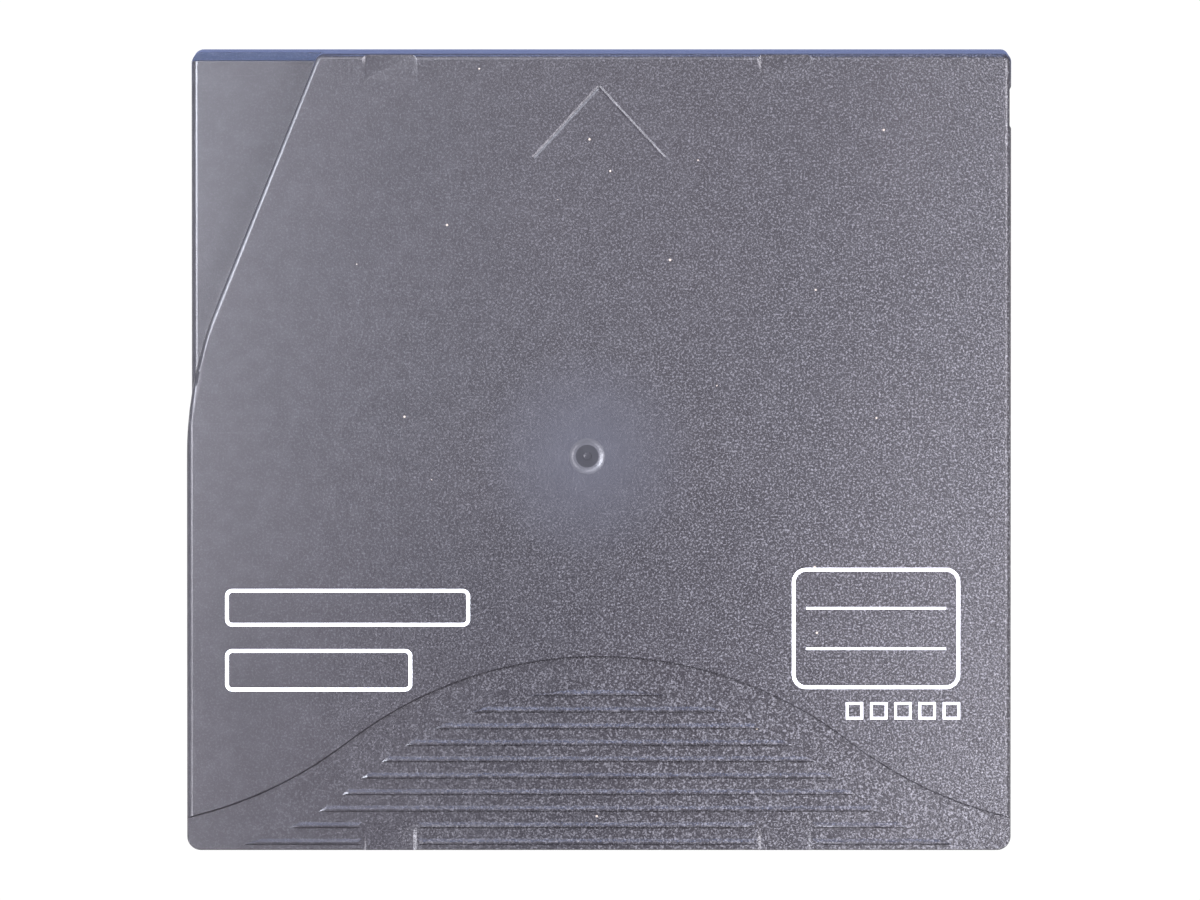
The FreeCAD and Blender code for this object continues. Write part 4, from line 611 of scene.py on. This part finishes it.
def inkPlate(left, right, low, high, radius, line=0.0):
    deselectAll()
    middle = ((left + right) / 2, (low + high) / 2, topFace - inkPrint["sunk"])
    bpy.ops.mesh.primitive_plane_add(size=1, location=middle)
    plate = bpy.context.object
    plate.scale = (right - left, high - low, 1)
    bpy.ops.object.transform_apply(location=True, rotation=True, scale=True)
    editAll(plate)
    if radius:
        bpy.ops.mesh.bevel(offset=radius, segments=8, affect="VERTICES")
    if line:
        bpy.ops.mesh.inset(thickness=line, depth=0)
        bpy.ops.mesh.delete(type="FACE")
        bpy.ops.mesh.select_all(action="SELECT")
    lift = (0, 0, inkPrint["thickness"] + inkPrint["sunk"])
    bpy.ops.mesh.extrude_region_move(TRANSFORM_OT_translate={"value": lift})
    bpy.ops.mesh.select_all(action="SELECT")
    bpy.ops.mesh.normals_make_consistent(inside=False)
    leaveEdit()
    return plate


def repeated(plate, step, total):
    copies = [plate]
    for index in range(1, total):
        makeActive(plate)
        bpy.ops.object.duplicate(linked=False)
        twin = bpy.context.object
        twin.location = (step[0] * index, step[1] * index, 0)
        bpy.ops.object.transform_apply(location=True, rotation=False, scale=False)
        copies.append(twin)
    return copies


plates = []
line, corner = inkPrint["line"], inkPrint["corner"]
plates.append(inkPlate(*inkPrint["nameField"], corner, line))
plates.append(inkPlate(*inkPrint["barField"], corner, line))
left, right, low, high = inkPrint["noteField"]
plates.append(inkPlate(left, right, low, high, 2 * corner, line))
pitch = (high - low) / (inkPrint["noteRules"] + 1)
margin = inkPrint["ruleMargin"]
rule = inkPlate(left + margin, right - margin, low + pitch - line / 3, low + pitch + line / 3, 0)
plates += repeated(rule, (0, pitch), inkPrint["noteRules"])
side, row = inkPrint["boxSide"], inkPrint["boxRow"]
tick = inkPlate(right - side, right, row - side / 2, row + side / 2, 0, line * 0.7)
plates += repeated(tick, (-inkPrint["boxPitch"], 0), inkPrint["boxCount"])
deselectAll()
for plate in plates:
    plate.select_set(True)
bpy.context.view_layer.objects.active = plates[0]
bpy.ops.object.join()
printedFields = bpy.context.object
printedFields.name = "printed_fields"
printedFields.data.materials.append(inkFinish)
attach(printedFields, "case")
print("print laid on the top face")


# floor, lights and camera
studio = {
    "floorSize": 6.0,
    "cameraDistance": 3.0,
    "cameraTilt": 2.5,
    "viewWidth": 0.15345,
    "viewCentre": (mm(0.14), mm(0.30)),
    "fill": (0.05, 0.05, 0.05, 1),
    "walls": (0.75, 0.77, 0.85, 1),
    "sky": (0.10, 0.15, 0.40, 1),
    "paper": (1.0, 1.0, 1.0, 1),
    "paperInSky": (0.42, 0.52, 1.0, 1),
    "paperStrength": 1.05,
    "skyFrom": (mm(46.0), mm(50.0)),
    "wallsFrom": (0.55, 0.95),
    "sensorWidth": 36,
}

deselectAll()
bpy.ops.mesh.primitive_plane_add(size=studio["floorSize"], location=(0, 0, cadBox[0].z - mm(0.02)))
floor = bpy.context.object
floor.name = "floor"
floorPaint, tree, shader = startMaterial("floorPaint", 0.85)
shader.inputs["Base Color"].default_value = (0.90, 0.90, 0.90, 1)
# the paper is plain white seen directly, and in the plastic it mirrors with the window's blue in front
rays = addNode(tree, "ShaderNodeLightPath").outputs
place = addNode(tree, "ShaderNodeTexCoord").outputs["Object"]
forwards = addNode(tree, "ShaderNodeSeparateXYZ", {"Vector": place}).outputs["Y"]
front = spread(tree, forwards, *studio["skyFrom"])
bluish = calculate(tree, "MULTIPLY", front, rays["Is Glossy Ray"])
tone = mixColour(tree, bluish, studio["paper"], studio["paperInSky"])
white = addNode(tree, "ShaderNodeEmission", {"Color": tone, "Strength": studio["paperStrength"]})
seen = calculate(tree, "MAXIMUM", rays["Is Camera Ray"], rays["Is Glossy Ray"])
paper = addNode(tree, "ShaderNodeMixShader", {0: seen, 1: shader.outputs[0], 2: white.outputs[0]})
tree.links.new(paper.outputs[0], tree.nodes["Material Output"].inputs["Surface"])
floor.data.materials.append(floorPaint)

world = bpy.data.worlds.new("softRoom")
world.use_nodes = True
bpy.context.scene.world = world
# pale walls stand left and right, and the window in front lets in blue sky
room = world.node_tree
background = room.nodes["Background"]
heading = addNode(room, "ShaderNodeTexCoord").outputs["Generated"]
parts = addNode(room, "ShaderNodeSeparateXYZ", {"Vector": heading}).outputs
sides = spread(room, calculate(room, "ABSOLUTE", parts["X"]), *studio["wallsFrom"])
ahead = spread(room, parts["Y"], *studio["wallsFrom"])
walls = mixColour(room, sides, studio["fill"], studio["walls"])
walls = mixColour(room, ahead, walls, studio["sky"])
room.links.new(walls, background.inputs["Color"])
background.inputs["Strength"].default_value = 1.0

lamps = {
    "window": {"place": (-0.60, 0.45, 0.40), "size": 0.40, "power": 4.0, "colour": (0.84, 0.89, 1.0)},
    "backWindow": {"place": (-0.60, -0.45, 0.40), "size": 0.30, "power": 1.5, "colour": (0.86, 0.90, 1.0)},
    "skyLow": {"place": (-0.05, 0.60, 0.10), "size": 0.20, "power": 1.1, "colour": (0.33, 0.49, 1.0)},
    "leftFront": {"place": (-0.105, 0.050, 0.14), "size": 0.06, "power": 0.36, "colour": (0.84, 0.88, 1.0)},
    "leftBox": {"place": (-0.12, 0.0, 0.22), "size": 0.08, "power": 0.44, "colour": (0.92, 0.91, 1.0)},
    "leftRear": {"place": (-0.100, -0.085, 0.12), "size": 0.05, "power": 0.22, "colour": (0.92, 0.91, 1.0)},
    "frontBox": {"place": (-0.03, 0.13, 0.18), "size": 0.12, "power": 0.24, "colour": (0.92, 0.91, 1.0)},
    "rightFront": {"place": (0.105, 0.06, 0.13), "size": 0.05, "power": 0.24, "colour": (0.93, 0.91, 1.0)},
    "rightLamp": {"place": (0.105, -0.02, 0.13), "size": 0.05, "power": 0.11, "colour": (0.93, 0.91, 1.0)},
    "rightRear": {"place": (0.100, -0.085, 0.12), "size": 0.05, "power": 0.20, "colour": (0.93, 0.91, 1.0)},
}
for name, lamp in lamps.items():
    light = bpy.data.lights.new(name, "AREA")
    light.shape = "DISK"
    light.size = lamp["size"]
    light.energy = lamp["power"]
    light.color = lamp["colour"]
    holder = bpy.data.objects.new(name, light)
    bpy.context.collection.objects.link(holder)
    holder.location = lamp["place"]
    holder.rotation_euler = (-Vector(lamp["place"])).to_track_quat("-Z", "Y").to_euler()
    holder.visible_camera = False

# the camera looks down from slightly in front of the case
camera = bpy.data.cameras.new("camera")
camera.sensor_width = studio["sensorWidth"]
camera.lens = studio["sensorWidth"] * studio["cameraDistance"] / studio["viewWidth"]
cameraHolder = bpy.data.objects.new("camera", camera)
bpy.context.collection.objects.link(cameraHolder)
tilt = math.radians(studio["cameraTilt"])
centre = Vector((studio["viewCentre"][0], studio["viewCentre"][1], topFace))
cameraHolder.location = centre + studio["cameraDistance"] * Vector((0, math.sin(tilt), math.cos(tilt)))
cameraHolder.rotation_euler = (-tilt, 0, 0)
bpy.context.scene.camera = cameraHolder
bpy.context.scene.view_settings.view_transform = "Standard"
print("studio ready")
